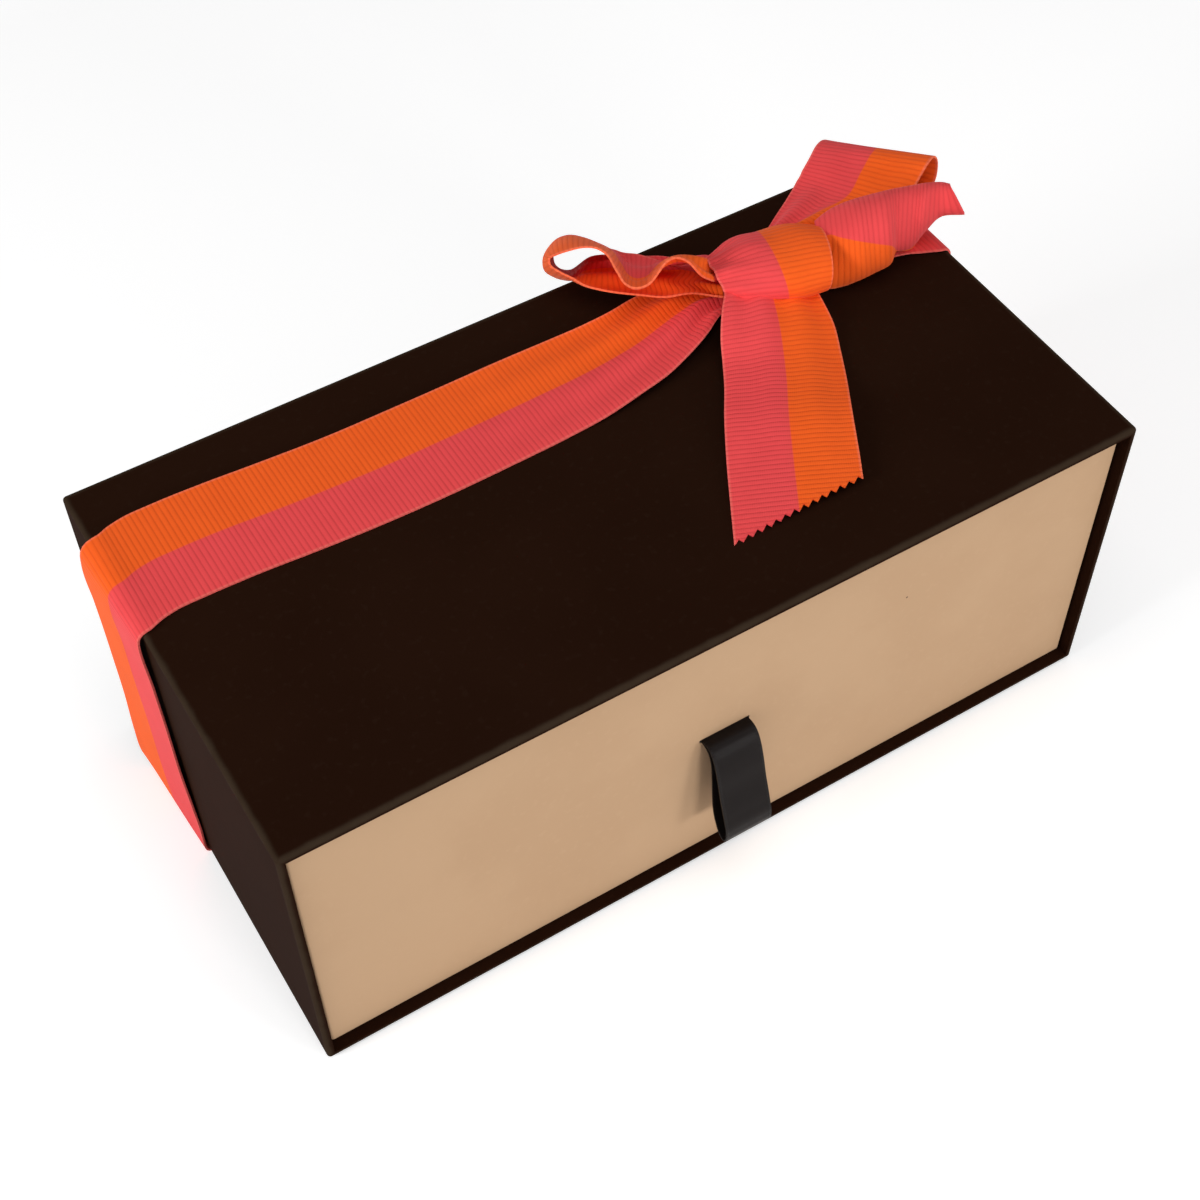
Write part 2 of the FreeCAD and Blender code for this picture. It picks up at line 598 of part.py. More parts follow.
def seated(label, shape, *against):
    """A strip of the bow, ending where it meets the pieces that hold it."""
    for other in against:
        shape = shape.cut(other)
    solids = sorted(shape.Solids, key=lambda solid: -solid.Volume)
    return freeform(label, solids[0])


def pinked(reach, pitch, depth):
    """A slab over the knot's side of a zigzag cut, parallel to the box's front."""
    y = KNOT.y - reach
    far = size("box_length")
    teeth = int(far / pitch)
    edge = [
        FreeCAD.Vector(KNOT.x - far / 2 + i * pitch / 2, y - depth / 2 * (-1) ** i, 0)
        for i in range(2 * teeth + 1)
    ]
    back = [FreeCAD.Vector(edge[-1].x, KNOT.y + far, 0), FreeCAD.Vector(edge[0].x, KNOT.y + far, 0)]
    face = Part.Face(Part.makePolygon(edge + back + edge[:1]))
    return face.extrude(FreeCAD.Vector(0, 0, 2 * LID))


left_loop = strip(refined(beside_knot(LEFT_LOOP), 1.6), RIBBON_THICK)
back_loop = strip(refined(beside_knot(BACK_LOOP), 1.6), RIBBON_THICK)
right_tail = strip(refined(beside_knot(RIGHT_TAIL), 1.6), RIBBON_THICK, columns=6)
front_tail = strip(refined(beside_knot(FRONT_TAIL), 3.2), RIBBON_THICK, columns=3)
cut_end = pinked(size("tail_reach"), size("pink_pitch"), size("pink_depth"))
seated("bow_left_loop", left_loop, knot_with_room)
seated("bow_back_loop", back_loop, knot_with_room)
seated("bow_right_tail", right_tail, knot_with_room)
seated("bow_front_tail", front_tail.common(cut_end), knot_with_room)


# The ribbon round the sleeve. At each corner the two edges turn with a radius of their own,
# because the ribbon stands off the box more at its back edge. Each edge: how far back it lies of
# the knot's middle, how far it stands off the end and off the lid or the floor, and its radius.
Edge = namedtuple("Edge", "aside off_end off_face radius")
CORNERS = [
    (1, 1, Edge(-8.4, 0.4, 0.4, 2.2), Edge(17.0, 0.4, 0.4, 2.2)),
    (1, -1, Edge(-9.2, 0.4, 0.05, 1.4), Edge(16.2, 0.5, 0.05, 1.5)),
    (-1, -1, Edge(-10.4, 0.5, 0.05, 1.5), Edge(14.9, 2.2, 0.05, 3.2)),
    (-1, 1, Edge(-9.4, 0.4, 0.35, 2.0), Edge(15.9, 2.0, 0.6, 5.0)),
]
CORNER_STEPS = 5
BAND_START = [
    (0.5, 0.0, 0.45, 90, 0, 0, 0.36),
    (8.5, -0.2, 0.45, 90, 0, 0, 0.4),
    (14.5, 0.7, 0.6, 88, 0, 0, 0.5),
    (21.5, 2.7, 0.6, 88, 0, 0, 0.65),
    (28.5, 4.6, 0.5, 89, 0, 0, 0.8),
    (34.0, 4.4, 0.4, 90, 0, 0, 0.95),
]
BAND_END = [
    (-132.0, -0.1, 0.3, 90, 0, 0, 1.0),
    (-40.0, -0.3, 0.3, 90, 0, 0, 1.0),
    (-31.0, 0.6, 0.6, 91, -1, 0, 0.96),
    (-25.5, 2.4, 0.95, 92, -3, 0, 0.88),
    (-20.0, 4.0, 1.15, 93, -4, 0, 0.75),
    (-14.5, 5.0, 1.1, 94, -5, 0, 0.55),
    (-11.0, 4.4, 0.8, 92, -3, 0, 0.42),
    (-6.0, 1.6, 0.5, 90, 0, 0, 0.36),
    (-0.5, 0.0, 0.45, 90, 0, 0, 0.36),
]


def turned_edge(side, level, edge, share):
    """A point on one edge of the ribbon, part of the way round a corner of the sleeve."""
    face = LID if level > 0 else 0.0
    centre_x = size("box_length") / 2 + edge.off_end + RIBBON_THICK / 2 - edge.radius
    centre_z = edge.off_face + RIBBON_THICK / 2 - edge.radius
    angle = math.radians(90 * share)
    return FreeCAD.Vector(
        side * (centre_x + edge.radius * math.sin(angle)),
        KNOT.y + edge.aside,
        face + level * (centre_z + edge.radius * math.cos(angle)),
    )


def corner_sections(side, level, front, back):
    """The sections round one corner, in the order that the ribbon passes them."""
    shares = [i / CORNER_STEPS for i in range(CORNER_STEPS + 1)]
    if side * level < 0:
        shares.reverse()
    sections = []
    for share in shares:
        low, high = (turned_edge(side, level, edge, share) for edge in (front, back))
        across = (high - low).normalize()
        sections.append(Section((low + high) / 2, across, RIBBON, 0))
    return sections


around = beside_knot(BAND_START)
for corner in CORNERS:
    around += corner_sections(*corner)
around += beside_knot(BAND_END)
freeform("ribbon_band", strip(around, RIBBON_THICK))

# The pull tab: a satin ribbon folded to a loop that hangs from the slot. Each row: how far out
# in front of the swing axis and how far below it the middle of the ribbon lies.
TAB_LOOP = [
    (0.05, -0.2), (1.0, -0.5), (2.4, -0.7), (3.8, 0.1), (4.9, 1.9), (5.8, 4.6), (6.9, 9.8),
    (8.6, 16.2), (9.6, 20.0), (9.5, 22.4), (8.4, 23.5), (7.2, 22.7), (5.9, 20.6), (4.8, 17.4),
    (4.2, 13.0), (3.7, 7.4), (3.1, 3.2), (2.0, 0.9), (1.0, 0.35), (0.05, 0.2),
]
SWING = FreeCAD.Vector(
    size("slot_offset"), -size("box_depth") / 2 + size("front_recess") - size("tab_hinge"), size("slot_height")
)
tab_sections = [
    Section(SWING + FRONT * out - UP * down, RIGHT, size("tab_width"), 0) for out, down in TAB_LOOP
]
freeform("pull_tab_loop", strip(refined(tab_sections, 0.9), size("tab_thickness")))

# Checks, then one file per sub-part.
doc.recompute()
for thing in doc.Objects:
    if "Invalid" in thing.State or "Error" in thing.State:
        raise RuntimeError(f"{thing.Name} did not build: {thing.State}")
for thing in PARTS:
    if thing.Shape.isNull() or not thing.Shape.isValid():
        raise RuntimeError(f"{thing.Label} has no valid shape")
    if len(thing.Shape.Solids) != 1:
        raise RuntimeError(f"{thing.Label} is {len(thing.Shape.Solids)} solids")
os.makedirs("parts", exist_ok=True)
for thing in PARTS:
    thing.Shape.exportStep(f"parts/{thing.Label}.step")
    print(f"{thing.Label}: {thing.Shape.Volume:.0f} mm3")
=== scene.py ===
"""Dresses the sunglasses box: paper-covered sleeve and drawer, satin pull tab, tied ribbon."""

import logging
import math
from dataclasses import dataclass
from enum import Enum

import bpy
import numpy as np
from mathutils import Matrix, Vector


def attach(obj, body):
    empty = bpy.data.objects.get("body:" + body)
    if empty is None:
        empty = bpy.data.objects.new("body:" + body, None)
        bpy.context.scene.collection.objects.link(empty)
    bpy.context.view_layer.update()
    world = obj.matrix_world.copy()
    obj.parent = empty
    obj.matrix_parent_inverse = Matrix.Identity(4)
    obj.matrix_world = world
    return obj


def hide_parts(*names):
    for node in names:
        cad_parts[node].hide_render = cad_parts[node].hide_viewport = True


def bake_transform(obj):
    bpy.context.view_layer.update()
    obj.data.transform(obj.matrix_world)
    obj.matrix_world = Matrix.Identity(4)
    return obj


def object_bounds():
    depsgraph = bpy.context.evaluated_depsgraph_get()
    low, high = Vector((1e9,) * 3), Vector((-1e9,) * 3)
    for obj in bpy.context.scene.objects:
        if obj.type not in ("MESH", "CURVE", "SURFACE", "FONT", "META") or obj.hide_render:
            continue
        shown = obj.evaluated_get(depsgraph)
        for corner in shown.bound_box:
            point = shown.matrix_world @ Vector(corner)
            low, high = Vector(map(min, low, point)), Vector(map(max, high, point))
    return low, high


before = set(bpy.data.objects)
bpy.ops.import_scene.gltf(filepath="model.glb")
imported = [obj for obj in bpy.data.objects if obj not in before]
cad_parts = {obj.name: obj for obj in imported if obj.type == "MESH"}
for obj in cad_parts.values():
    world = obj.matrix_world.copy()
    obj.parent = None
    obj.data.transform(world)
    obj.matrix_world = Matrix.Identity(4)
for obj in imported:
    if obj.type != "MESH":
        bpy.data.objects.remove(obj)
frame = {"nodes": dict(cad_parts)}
CAD_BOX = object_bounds()
log = logging.getLogger("sunglasses_box")

MM = 0.001
# The sleeve's outer faces, in metres: its low corner and its high one.
SLEEVE = ((-0.092, -0.04685, 0.0), (0.092, 0.04685, 0.0741))

WEAVE_LAYOUT = "weave"
SMOOTH_ANGLE = math.radians(50)

# Limits of the ribbon's surface, in millimetres, radians or shares.
NUDGE = 0.05
LEAST_CURL = 1e-3
LEAST_GATHER = 0.05
LEAST_TAKEN = 0.3
LEAST_ROWS = 8
STRAIGHT = 1e-6
PLEAT_PHASE = 0.6
# The faint swell of a stretched ribbon: how fast it turns along and across, and its start.
RIPPLE_ALONG, RIPPLE_ACROSS, RIPPLE_SLANT, RIPPLE_START = 0.21, 4.1, 0.05, 1.3
# The pinked cut: its teeth, column by column, and how finely the cut is looked for.
TEETH = (1, 0, -1, 0)
CUT_TRIES = 400

Array = np.ndarray
Material = bpy.types.Material
Socket = bpy.types.NodeSocket
Colour = tuple[float, ...]
Span = tuple[float, float]
Point = tuple[float, float, float]
Rows = tuple[tuple[float, ...], ...]
Stations = tuple[Array, ...]


class Held(Enum):
    """How a sheet of ribbon is held."""

    GATHERED = "gathered"
    LAID = "laid"
    FOLDED = "folded"
    STRETCHED = "stretched"


class Edge(Enum):
    """Which colour runs along a ribbon's first edge."""

    PINK_FIRST = 0
    ORANGE_FIRST = 1

    def across(self, share: Array) -> Array:
        """How far from the pink edge, 0 to 1, a share of the width lies, -0.5 to 0.5."""
        return share + 0.5 if self is Edge.PINK_FIRST else 0.5 - share


class Shader:
    """A material under construction: its node tree and its principled shader."""

    def __init__(
        self, name: str, roughness: float, specular: float, sheen: float = 0.0
    ) -> None:
        """Starts a node material.

        Args:
            name: the material's name.
            roughness: the shader's roughness, constant over the surface.
            specular: the specular level.
            sheen: the weight of the sheen.
        """
        self.material = bpy.data.materials.new(name)
        self.material.use_nodes = True
        self.tree = self.material.node_tree
        self.surface = self.tree.nodes["Principled BSDF"]
        self.surface.inputs["Roughness"].default_value = roughness
        self.surface.inputs["Sheen Weight"].default_value = sheen
        self.surface.inputs["Specular IOR Level"].default_value = specular

    def put(self, socket: Socket, value: object) -> None:
        """Links an output to a socket, or sets a number or a colour on it."""
        if isinstance(value, Socket):
            self.tree.links.new(value, socket)
        else:
            socket.default_value = value

    def math(self, operation: str, a: object, b: object = 0.0, c: object = 0.0) -> Socket:
        """Adds a math node.

        Args:
            operation: the node's operation.
            a: the first operand, a number or a socket.
            b: the second operand.
            c: the third operand.

        Returns:
            The result's socket.
        """
        node = self.tree.nodes.new("ShaderNodeMath")
        node.operation = operation
        for socket, value in zip(node.inputs, (a, b, c)):
            self.put(socket, value)
        return node.outputs[0]

    def noise(self, vector: object, scale: float, detail: float) -> Socket:
        """Adds a noise texture and returns its grey value."""
        node = self.tree.nodes.new("ShaderNodeTexNoise")
        self.put(node.inputs["Vector"], vector)
        node.inputs["Scale"].default_value = scale
        node.inputs["Detail"].default_value = detail
        return node.outputs["Fac"]

    def mix(
        self, share: object, first: object, second: object, blend: str = "MIX"
    ) -> Socket:
        """Mixes two colours.

        Args:
            share: how much of the second colour.
            first: a colour or a socket.
            second: a colour or a socket.
            blend: the blend type.

        Returns:
            The mixed colour's socket.
        """
        node = self.tree.nodes.new("ShaderNodeMix")
        node.data_type = "RGBA"
        node.blend_type = blend
        self.put(node.inputs["Factor"], share)
        self.put(node.inputs["A"], first)
        self.put(node.inputs["B"], second)
        return node.outputs["Result"]

    def blend(self, first: object, second: object, shares: Span) -> Socket:
        """Adds two heights, each times its share."""
        pairs = zip((first, second), shares)
        return self.math("ADD", *(self.math("MULTIPLY", height, share) for height, share in pairs))

    def ramp(self, value: object, low: float, high: float) -> Socket:
        """Maps low to high onto 0 to 1, smoothly and clamped."""
        node = self.tree.nodes.new("ShaderNodeMapRange")
        node.interpolation_type = "SMOOTHSTEP"
        self.put(node.inputs["Value"], value)
        node.inputs["From Min"].default_value = low
        node.inputs["From Max"].default_value = high
        return node.outputs["Result"]

    def place(self) -> tuple[Socket, list[Socket]]:
        """Object coordinates, whole and split into three."""
        coordinates = self.tree.nodes.new("ShaderNodeTexCoord").outputs["Object"]
        split = self.tree.nodes.new("ShaderNodeSeparateXYZ")
        self.put(split.inputs[0], coordinates)
        return coordinates, list(split.outputs)

    def ribbon_place(self) -> tuple[Socket, Socket]:
        """How far across the ribbon, 0 to 1, and how far along it in millimetres."""
        layout = self.tree.nodes.new("ShaderNodeUVMap")
        layout.uv_map = WEAVE_LAYOUT
        split = self.tree.nodes.new("ShaderNodeSeparateXYZ")
        self.put(split.inputs[0], layout.outputs[0])
        return split.outputs[0], split.outputs[1]

    def off_middle(self, value: object) -> Socket:
        """How far off its middle a value between 0 and 1 is: 0 there, and 1 at either end."""
        return self.math("ABSOLUTE", self.math("MULTIPLY_ADD", value, 2.0, -1.0))

    def ridges(self, value: object, pitch: float, power: float) -> Socket:
        """Rounded ridges of height 1 with narrow grooves between them, one each pitch."""
        phase = self.math("FRACT", self.math("DIVIDE", value, pitch))
        return self.math("SUBTRACT", 1.0, self.math("POWER", self.off_middle(phase), power))

    def bump(self, height: object, distance: float, strength: float) -> None:
        """Gives the surface relief.

        Args:
            height: the height, 0 to 1.
            distance: how deep a height of 1 is, in metres.
            strength: the bump's strength.
        """
        node = self.tree.nodes.new("ShaderNodeBump")
        node.inputs["Strength"].default_value = strength
        node.inputs["Distance"].default_value = distance
        self.put(node.inputs["Height"], height)
        self.put(self.surface.inputs["Normal"], node.outputs["Normal"])

    def colour(self, value: object) -> None:
        """Sets the surface's colour."""
        self.put(self.surface.inputs["Base Color"], value)


@dataclass(frozen=True)
class Grosgrain:
    """Ribbed ribbon, woven in two colours side by side; widths and pitches in millimetres."""

    pink: Colour = (0.89, 0.079, 0.084, 1.0)
    orange: Colour = (1.0, 0.130, 0.014, 1.0)
    selvedge: Colour = (1.0, 0.30, 0.22, 1.0)
    shade: Colour = (0.72, 0.52, 0.52, 1.0)
    width: float = 25.4
    rib: float = 1.1
    rib_power: float = 2.4
    thread: float = 0.42
    thread_power: float = 2.0
    colour_line: Span = (0.492, 0.508)
    border: Span = (0.955, 0.985)
    border_share: float = 0.3
    # How far painted shade darkens the grooves between the ribs.
    groove_shade_share: float = 0.42
    drift_scale: float = 160.0
    drift_share: float = 0.3
    drift_start: float = -0.12
    relief: Span = (0.85, 0.15)

    def material(self) -> Material:
        """Ribs across the ribbon, fine warp threads along it, painted shade in the grooves, and a
        pale edge.
        """
        shader = Shader("grosgrain ribbon", roughness=0.7, specular=0.06, sheen=0.06)
        across, along = shader.ribbon_place()
        rib = shader.ridges(along, self.rib, self.rib_power)
        warp = shader.ridges(
            shader.math("MULTIPLY", across, self.width), self.thread, self.thread_power
        )
        where, _ = shader.place()
        drift = shader.noise(where, self.drift_scale, 2.0)
        base = shader.mix(shader.ramp(across, *self.colour_line), self.pink, self.orange)
        rim = shader.ramp(shader.off_middle(across), *self.border)
        base = shader.mix(shader.math("MULTIPLY", rim, self.border_share), base, self.selvedge)
        dark = shader.mix(1.0, base, self.shade, "MULTIPLY")
        # Painted shade: the colour darkens in the grooves between the ribs, and also with a random
        # drift of tone.
        groove_shade = shader.math("SUBTRACT", 1.0, rib)
        share = shader.math(
            "ADD",
            shader.math("MULTIPLY", groove_shade, self.groove_shade_share),
            shader.math("MULTIPLY_ADD", drift, self.drift_share, self.drift_start),
        )
        shader.colour(shader.mix(share, base, dark))
        shader.bump(shader.blend(rib, warp, self.relief), distance=0.00013, strength=0.7)
        return shader.material


@dataclass(frozen=True)
class Satin:
    """Black satin ribbon with a soft gloss; pitches in millimetres."""

    black: Colour = (0.008, 0.0055, 0.005, 1.0)
    # A lighter black mixed in at random, as wear.
    wear_and_highlight: Colour = (0.014, 0.011, 0.0105, 1.0)
    weft: float = 0.34
    weft_power: float = 2.0
    weft_relief: float = 0.35
    border: Span = (0.86, 0.92)
    cord: float = 0.5
    cord_power: float = 1.6
    drift_scale: float = 900.0
    drift_share: float = 0.5

    def material(self) -> Material:
        """Fine threads across the ribbon and a firmer woven edge."""
        shader = Shader("black satin", roughness=0.32, specular=0.07)
        across, along = shader.ribbon_place()
        weft = shader.ridges(along, self.weft, self.weft_power)
        border = shader.ramp(shader.off_middle(across), *self.border)
        where, _ = shader.place()
        drift = shader.noise(where, self.drift_scale, 2.0)
        share = shader.math("MULTIPLY", drift, self.drift_share)
        shader.colour(shader.mix(share, self.black, self.wear_and_highlight))
        cord = shader.ridges(along, self.cord, self.cord_power)
        low = shader.math("MULTIPLY", weft, self.weft_relief)
        height = shader.math("MULTIPLY_ADD", border, cord, low)
        shader.bump(height, distance=0.00006, strength=0.8)
        return shader.material


@dataclass(frozen=True)
class Speck:
    """A dark speck in the drawer's front paper, in millimetres."""

    along: float
    up: float
    radius: float
    colour: Colour = (0.05, 0.03, 0.02, 1.0)
    softness: float = 0.3

    def lay(self, shader: Shader, axes: list[Socket], tone: object) -> Socket:
        """Lays the speck over a colour.

        Args:
            shader: the paper's shader.
            axes: the object coordinates, split into three.
            tone: the colour beneath.

        Returns:
            The colour with the speck.
        """
        squares = [
            shader.math("POWER", shader.math("SUBTRACT", axis, at * MM), 2.0)
            for axis, at in ((axes[0], self.along), (axes[2], self.up))
        ]
        away = shader.math("SQRT", shader.math("ADD", *squares))
        outer, inner = (self.radius * (1 + part) * MM for part in (self.softness, -self.softness))
        return shader.mix(shader.ramp(away, outer, inner), tone, self.colour)


@dataclass(frozen=True)
class CoverPaper:
    """Printed paper glued over board: a fine tooth, faint clouds and a painted highlight along the
    outer edges.

    The ranges are of noise values; the edge highlight's swing and border are in metres.
    """

    name: str
    tone: Colour
    cloud: Colour
    fleck: Colour
    roughness: float
    specular: float
    cloudiness: float
    tooth: float
    specks: tuple[Speck, ...] = ()
    # Painted highlight along the sleeve's outer edges, where rounded edges would catch the light:
    # its colour, share, noise scale, swing and border.
    wear_and_highlight: Colour | None = None
    edge_highlight_share: float = 0.8
    highlight_scale: float = 240.0
    highlight_swing: float = 0.0008
    highlight_border: Span = (0.0014, 0.0003)
    cloud_scale: float = 38.0
    cloud_range: Span = (0.35, 0.68)
    grain_scale: float = 2600.0
    fibre_scale: float = 620.0
    fibre_range: Span = (0.56, 0.70)
    fibre_share: float = 0.35
    relief: Span = (0.7, 0.3)

    def edges(self, shader: Shader, where: Socket, axes: list[Socket]) -> Socket:
        """How near the sleeve's outer edges a place is, from 0 to 1, with an uneven border.

        Args:
            shader: the paper's shader.
            where: the object coordinates.
            axes: the same, split into three.

        Returns:
            The nearness: an edge is where two of the three faces are close.
        """
        gaps = []
        for axis, near, far in zip(axes, *SLEEVE):
            middle, half = (near + far) / 2, (far - near) / 2
            away = shader.math("ABSOLUTE", shader.math("SUBTRACT", axis, middle))
            gaps.append(shader.math("ABSOLUTE", shader.math("SUBTRACT", half, away)))
        total = shader.math("ADD", shader.math("ADD", gaps[0], gaps[1]), gaps[2])
        most = shader.math("MAXIMUM", shader.math("MAXIMUM", gaps[0], gaps[1]), gaps[2])
        noise = shader.noise(where, self.highlight_scale, 4.0)
        uneven = shader.math("MULTIPLY_ADD", noise, self.highlight_swing, -self.highlight_swing / 2)
        border = shader.math("ADD", shader.math("SUBTRACT", total, most), uneven)
        return shader.ramp(border, *self.highlight_border)

    def material(self) -> Material:
        """The paper's colour with clouds, flecks and any painted edge highlight, and its tooth."""
        shader = Shader(self.name, self.roughness, self.specular)
        where, axes = shader.place()
        clouds = shader.ramp(shader.noise(where, self.cloud_scale, 4.0), *self.cloud_range)
        grain = shader.noise(where, self.grain_scale, 3.0)
        fibres = shader.ramp(shader.noise(where, self.fibre_scale, 5.0), *self.fibre_range)
        tone = shader.mix(shader.math("MULTIPLY", clouds, self.cloudiness), self.tone, self.cloud)
        tone = shader.mix(shader.math("MULTIPLY", fibres, self.fibre_share), tone, self.fleck)
        for speck in self.specks:
            tone = speck.lay(shader, axes, tone)
        # Painted highlight along the sleeve's outer edges, where rounded edges would catch the
        # light.
        if self.wear_and_highlight:
            edge_highlight = shader.math("MULTIPLY", self.edges(shader, where, axes), self.edge_highlight_share)
            tone = shader.mix(edge_highlight, tone, self.wear_and_highlight)
        shader.colour(tone)
        shader.bump(shader.blend(grain, fibres, self.relief), self.tooth, strength=0.6)
        return shader.material


@dataclass(frozen=True)
class Greyboard:
    """Bare recycled board, seen only where no paper covers it."""

    light: Colour = (0.25, 0.23, 0.20, 1.0)
    dark: Colour = (0.14, 0.13, 0.115, 1.0)
    fibre_scale: float = 900.0

    def material(self) -> Material:
        """Grey with short fibres."""
        shader = Shader("greyboard", roughness=0.9, specular=0.2)
        where, _ = shader.place()
        fibres = shader.noise(where, self.fibre_scale, 6.0)
        shader.colour(shader.mix(fibres, self.light, self.dark))
        shader.bump(fibres, distance=0.00005, strength=0.6)
        return shader.material


DARK_PAPER = CoverPaper(
    name="dark cover paper",
    tone=(0.0172, 0.0063, 0.0032, 1.0),
    cloud=(0.021, 0.008, 0.0042, 1.0),
    fleck=(0.024, 0.011, 0.0065, 1.0),
    roughness=0.62,
    specular=0.003,
    cloudiness=0.5,
    tooth=0.00003,
    # The colour of the painted highlight along the sleeve's outer edges.
    wear_and_highlight=(0.045, 0.030, 0.019, 1.0),
)
LINING_PAPER = CoverPaper(
    name="dark lining paper",
    tone=(0.012, 0.005, 0.003, 1.0),
    cloud=(0.015, 0.007, 0.004, 1.0),
    fleck=(0.018, 0.009, 0.006, 1.0),
    roughness=0.7,
    specular=0.006,
    cloudiness=0.4,
    tooth=0.00003,
)
CREAM_PAPER = CoverPaper(
    name="cream cover paper",
    tone=(0.575, 0.372, 0.222, 1.0),
    cloud=(0.535, 0.338, 0.198, 1.0),
    fleck=(0.585, 0.38, 0.23, 1.0),
    roughness=0.75,
    specular=0.12,
    cloudiness=0.6,
    tooth=0.000012,
    specks=(Speck(41.0, 53.0, 0.22),),
)


def smooth_rows(rows: Array, way: Array, at: Array) -> Array:
    """Follows rows of numbers smoothly, through every row.

    Args:
        rows: one row for each station.
        way: how far along each station lies.
        at: where rows are wanted.

    Returns:
        The rows there.
    """
    gaps = np.diff(way)[:, None]
    slopes = np.diff(rows, axis=0) / gaps
    inner = (slopes[:-1] * gaps[1:] + slopes[1:] * gaps[:-1]) / (gaps[:-1] + gaps[1:])
    tangents = np.vstack([slopes[:1], inner, slopes[-1:]])
    index = np.clip(np.searchsorted(way, at, side="right") - 1, 0, len(way) - 2)
    step = gaps[index]
    share = ((at - way[index])[:, None]) / step
    low, high = rows[index], rows[index + 1]
    square, cube = share**2, share**3
    return (
        (2 * cube - 3 * square + 1) * low
        + (cube - 2 * square + share) * step * tangents[index]
        + (3 * square - 2 * cube) * high
        + (cube - square) * step * tangents[index + 1]
    )


def units(rows: Array) -> Array:
    """Each row at length one."""
    return rows / np.linalg.norm(rows, axis=-1, keepdims=True)


def travelled(points: Array) -> Array:
    """How far along a row of points each one lies."""
    steps = np.linalg.norm(np.diff(points, axis=0), axis=1)
    return np.concatenate([[0.0], np.cumsum(steps)])


def pleated(share: Array, pleats: float) -> Array:
    """The height of the pleats across a gathered ribbon, from -1 to 1."""
    return np.sin(2 * math.pi * pleats * (share + 0.5) + PLEAT_PHASE)


def heading(turn: float, dip: float) -> Array:
    """A unit vector from its plan angle and its rise, in degrees."""
    turn, dip = math.radians(turn), math.radians(dip)
    flat = math.cos(dip)
    return np.array([flat * math.cos(turn), flat * math.sin(turn), math.sin(dip)])


@dataclass(kw_only=True)
class Sheet:
    """A length of ribbon, in millimetres in the box's own frame."""

    name: str
    nodes: tuple[str, ...]
    slot: str
    width: float
    thickness: float
    held: Held
    rests_on: tuple[str, ...]
    edge: Edge = Edge.PINK_FIRST
    columns: int = 24

    def shares(self) -> Array:
        """Where the grid's columns lie across the width, from -0.5 to 0.5."""
        return np.linspace(-0.5, 0.5, self.columns + 1)

    def grid(self) -> tuple[Array, Array, float]:
        """The points, how far along the ribbon each one lies, and the ribbon's length."""
        raise NotImplementedError

    def mesh(self, finish: Material) -> bpy.types.Object:
        """Args:
            finish: the ribbon's material.

        Returns:
            The piece, which rides on nothing yet.
        """
        points, distance, total = self.grid()
        across = self.edge.across(self.shares())
        piece = weave(self.name, points * MM, across, distance, self.thickness, finish)
        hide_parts(*self.nodes)
        return piece

    def build(self, finish: Material) -> None:
        """Makes the ribbon and sets it on the sleeve."""
        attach(self.mesh(finish), "sleeve")


@dataclass(kw_only=True)
class Strip(Sheet):
    """A ribbon laid through stations.

    The stations are the middles, the unit vectors across, the curls in degrees over the whole
    width, and the shares of the width that are left where the ribbon is gathered. A strip may end
    at a pinked cut across the box, at end_y.
    """

    stations: Stations
    spacing: float = 0.8
    pleats: float = 3.0
    pleat_depth: float = 0.55
    ripple: float = 0.0
    end_y: float | None = None
    tooth: float = 0.0

    def field(self, along: Array, share: Array) -> Array:
        """The ribbon's surface.

        Args:
            along: distances along the middle.
            share: places across the width, from -0.5 to 0.5.

        Returns:
            The points.
        """
        middles, across, curls, gathers = self.stations
        way = travelled(middles)
        rows = np.hstack([middles, across, np.radians(curls)[:, None], gathers[:, None]])
        flat, place = along.ravel(), share.ravel()[:, None]
        behind, here, ahead = (
            smooth_rows(rows, way, np.clip(flat + step, 0, way[-1])) for step in (-NUDGE, 0, NUDGE)
        )
        middle, cross = here[:, :3], units(here[:, 3:6])
        run = ahead[:, :3] - behind[:, :3]
        run = units(run - cross * np.sum(run * cross, axis=1, keepdims=True))
        normal = np.cross(run, cross)
        curl, gather = here[:, 6:7], np.clip(here[:, 7:8], LEAST_GATHER, 1.0)
        curved = np.where(np.abs(curl) < LEAST_CURL, LEAST_CURL, curl)
        radius = self.width * gather / curved
        lift = radius * (1 - np.cos(curved * place))
        point = middle + cross * radius * np.sin(curved * place) + normal * lift
        slack = np.sqrt(np.clip(1 / gather**2 - 1, 0, None))
        height = pleated(place, self.pleats) * slack * self.width * gather
        point = point + normal * height / (2 * math.pi * self.pleats) * self.pleat_depth
        if self.ripple:
            far = flat[:, None]
            swell = np.sin(far * RIPPLE_ALONG + RIPPLE_START)
            swell = swell * np.sin(place * RIPPLE_ACROSS + far * RIPPLE_SLANT)
            point = point + normal * swell * self.ripple
        return point.reshape(along.shape + (3,))

    def ends(self, total: float) -> Array:
        """Where each column of the ribbon stops: at its end, or at the pinked cut."""
        stops = np.full(self.columns + 1, total)
        if self.end_y is None:
            return stops
        tries = np.linspace(total * 0.5, total, CUT_TRIES)
        for i, place in enumerate(self.shares()):
            points = self.field(tries, np.full(tries.shape, place))
            edge = self.end_y - self.tooth * TEETH[i % len(TEETH)]
            past = np.nonzero(points[:, 1] < edge)[0]
            if len(past):
                stops[i] = tries[past[0]]
        return stops

    def grid(self) -> tuple[Array, Array, float]:
        """The points, how far along the ribbon each one lies, and the ribbon's length."""
        total = float(travelled(self.stations[0])[-1])
        rows = max(int(total / self.spacing), LEAST_ROWS)
        along = np.linspace(0.0, 1.0, rows + 1)[:, None] * self.ends(total)[None, :]
        return self.field(along, np.broadcast_to(self.shares(), along.shape)), along, total


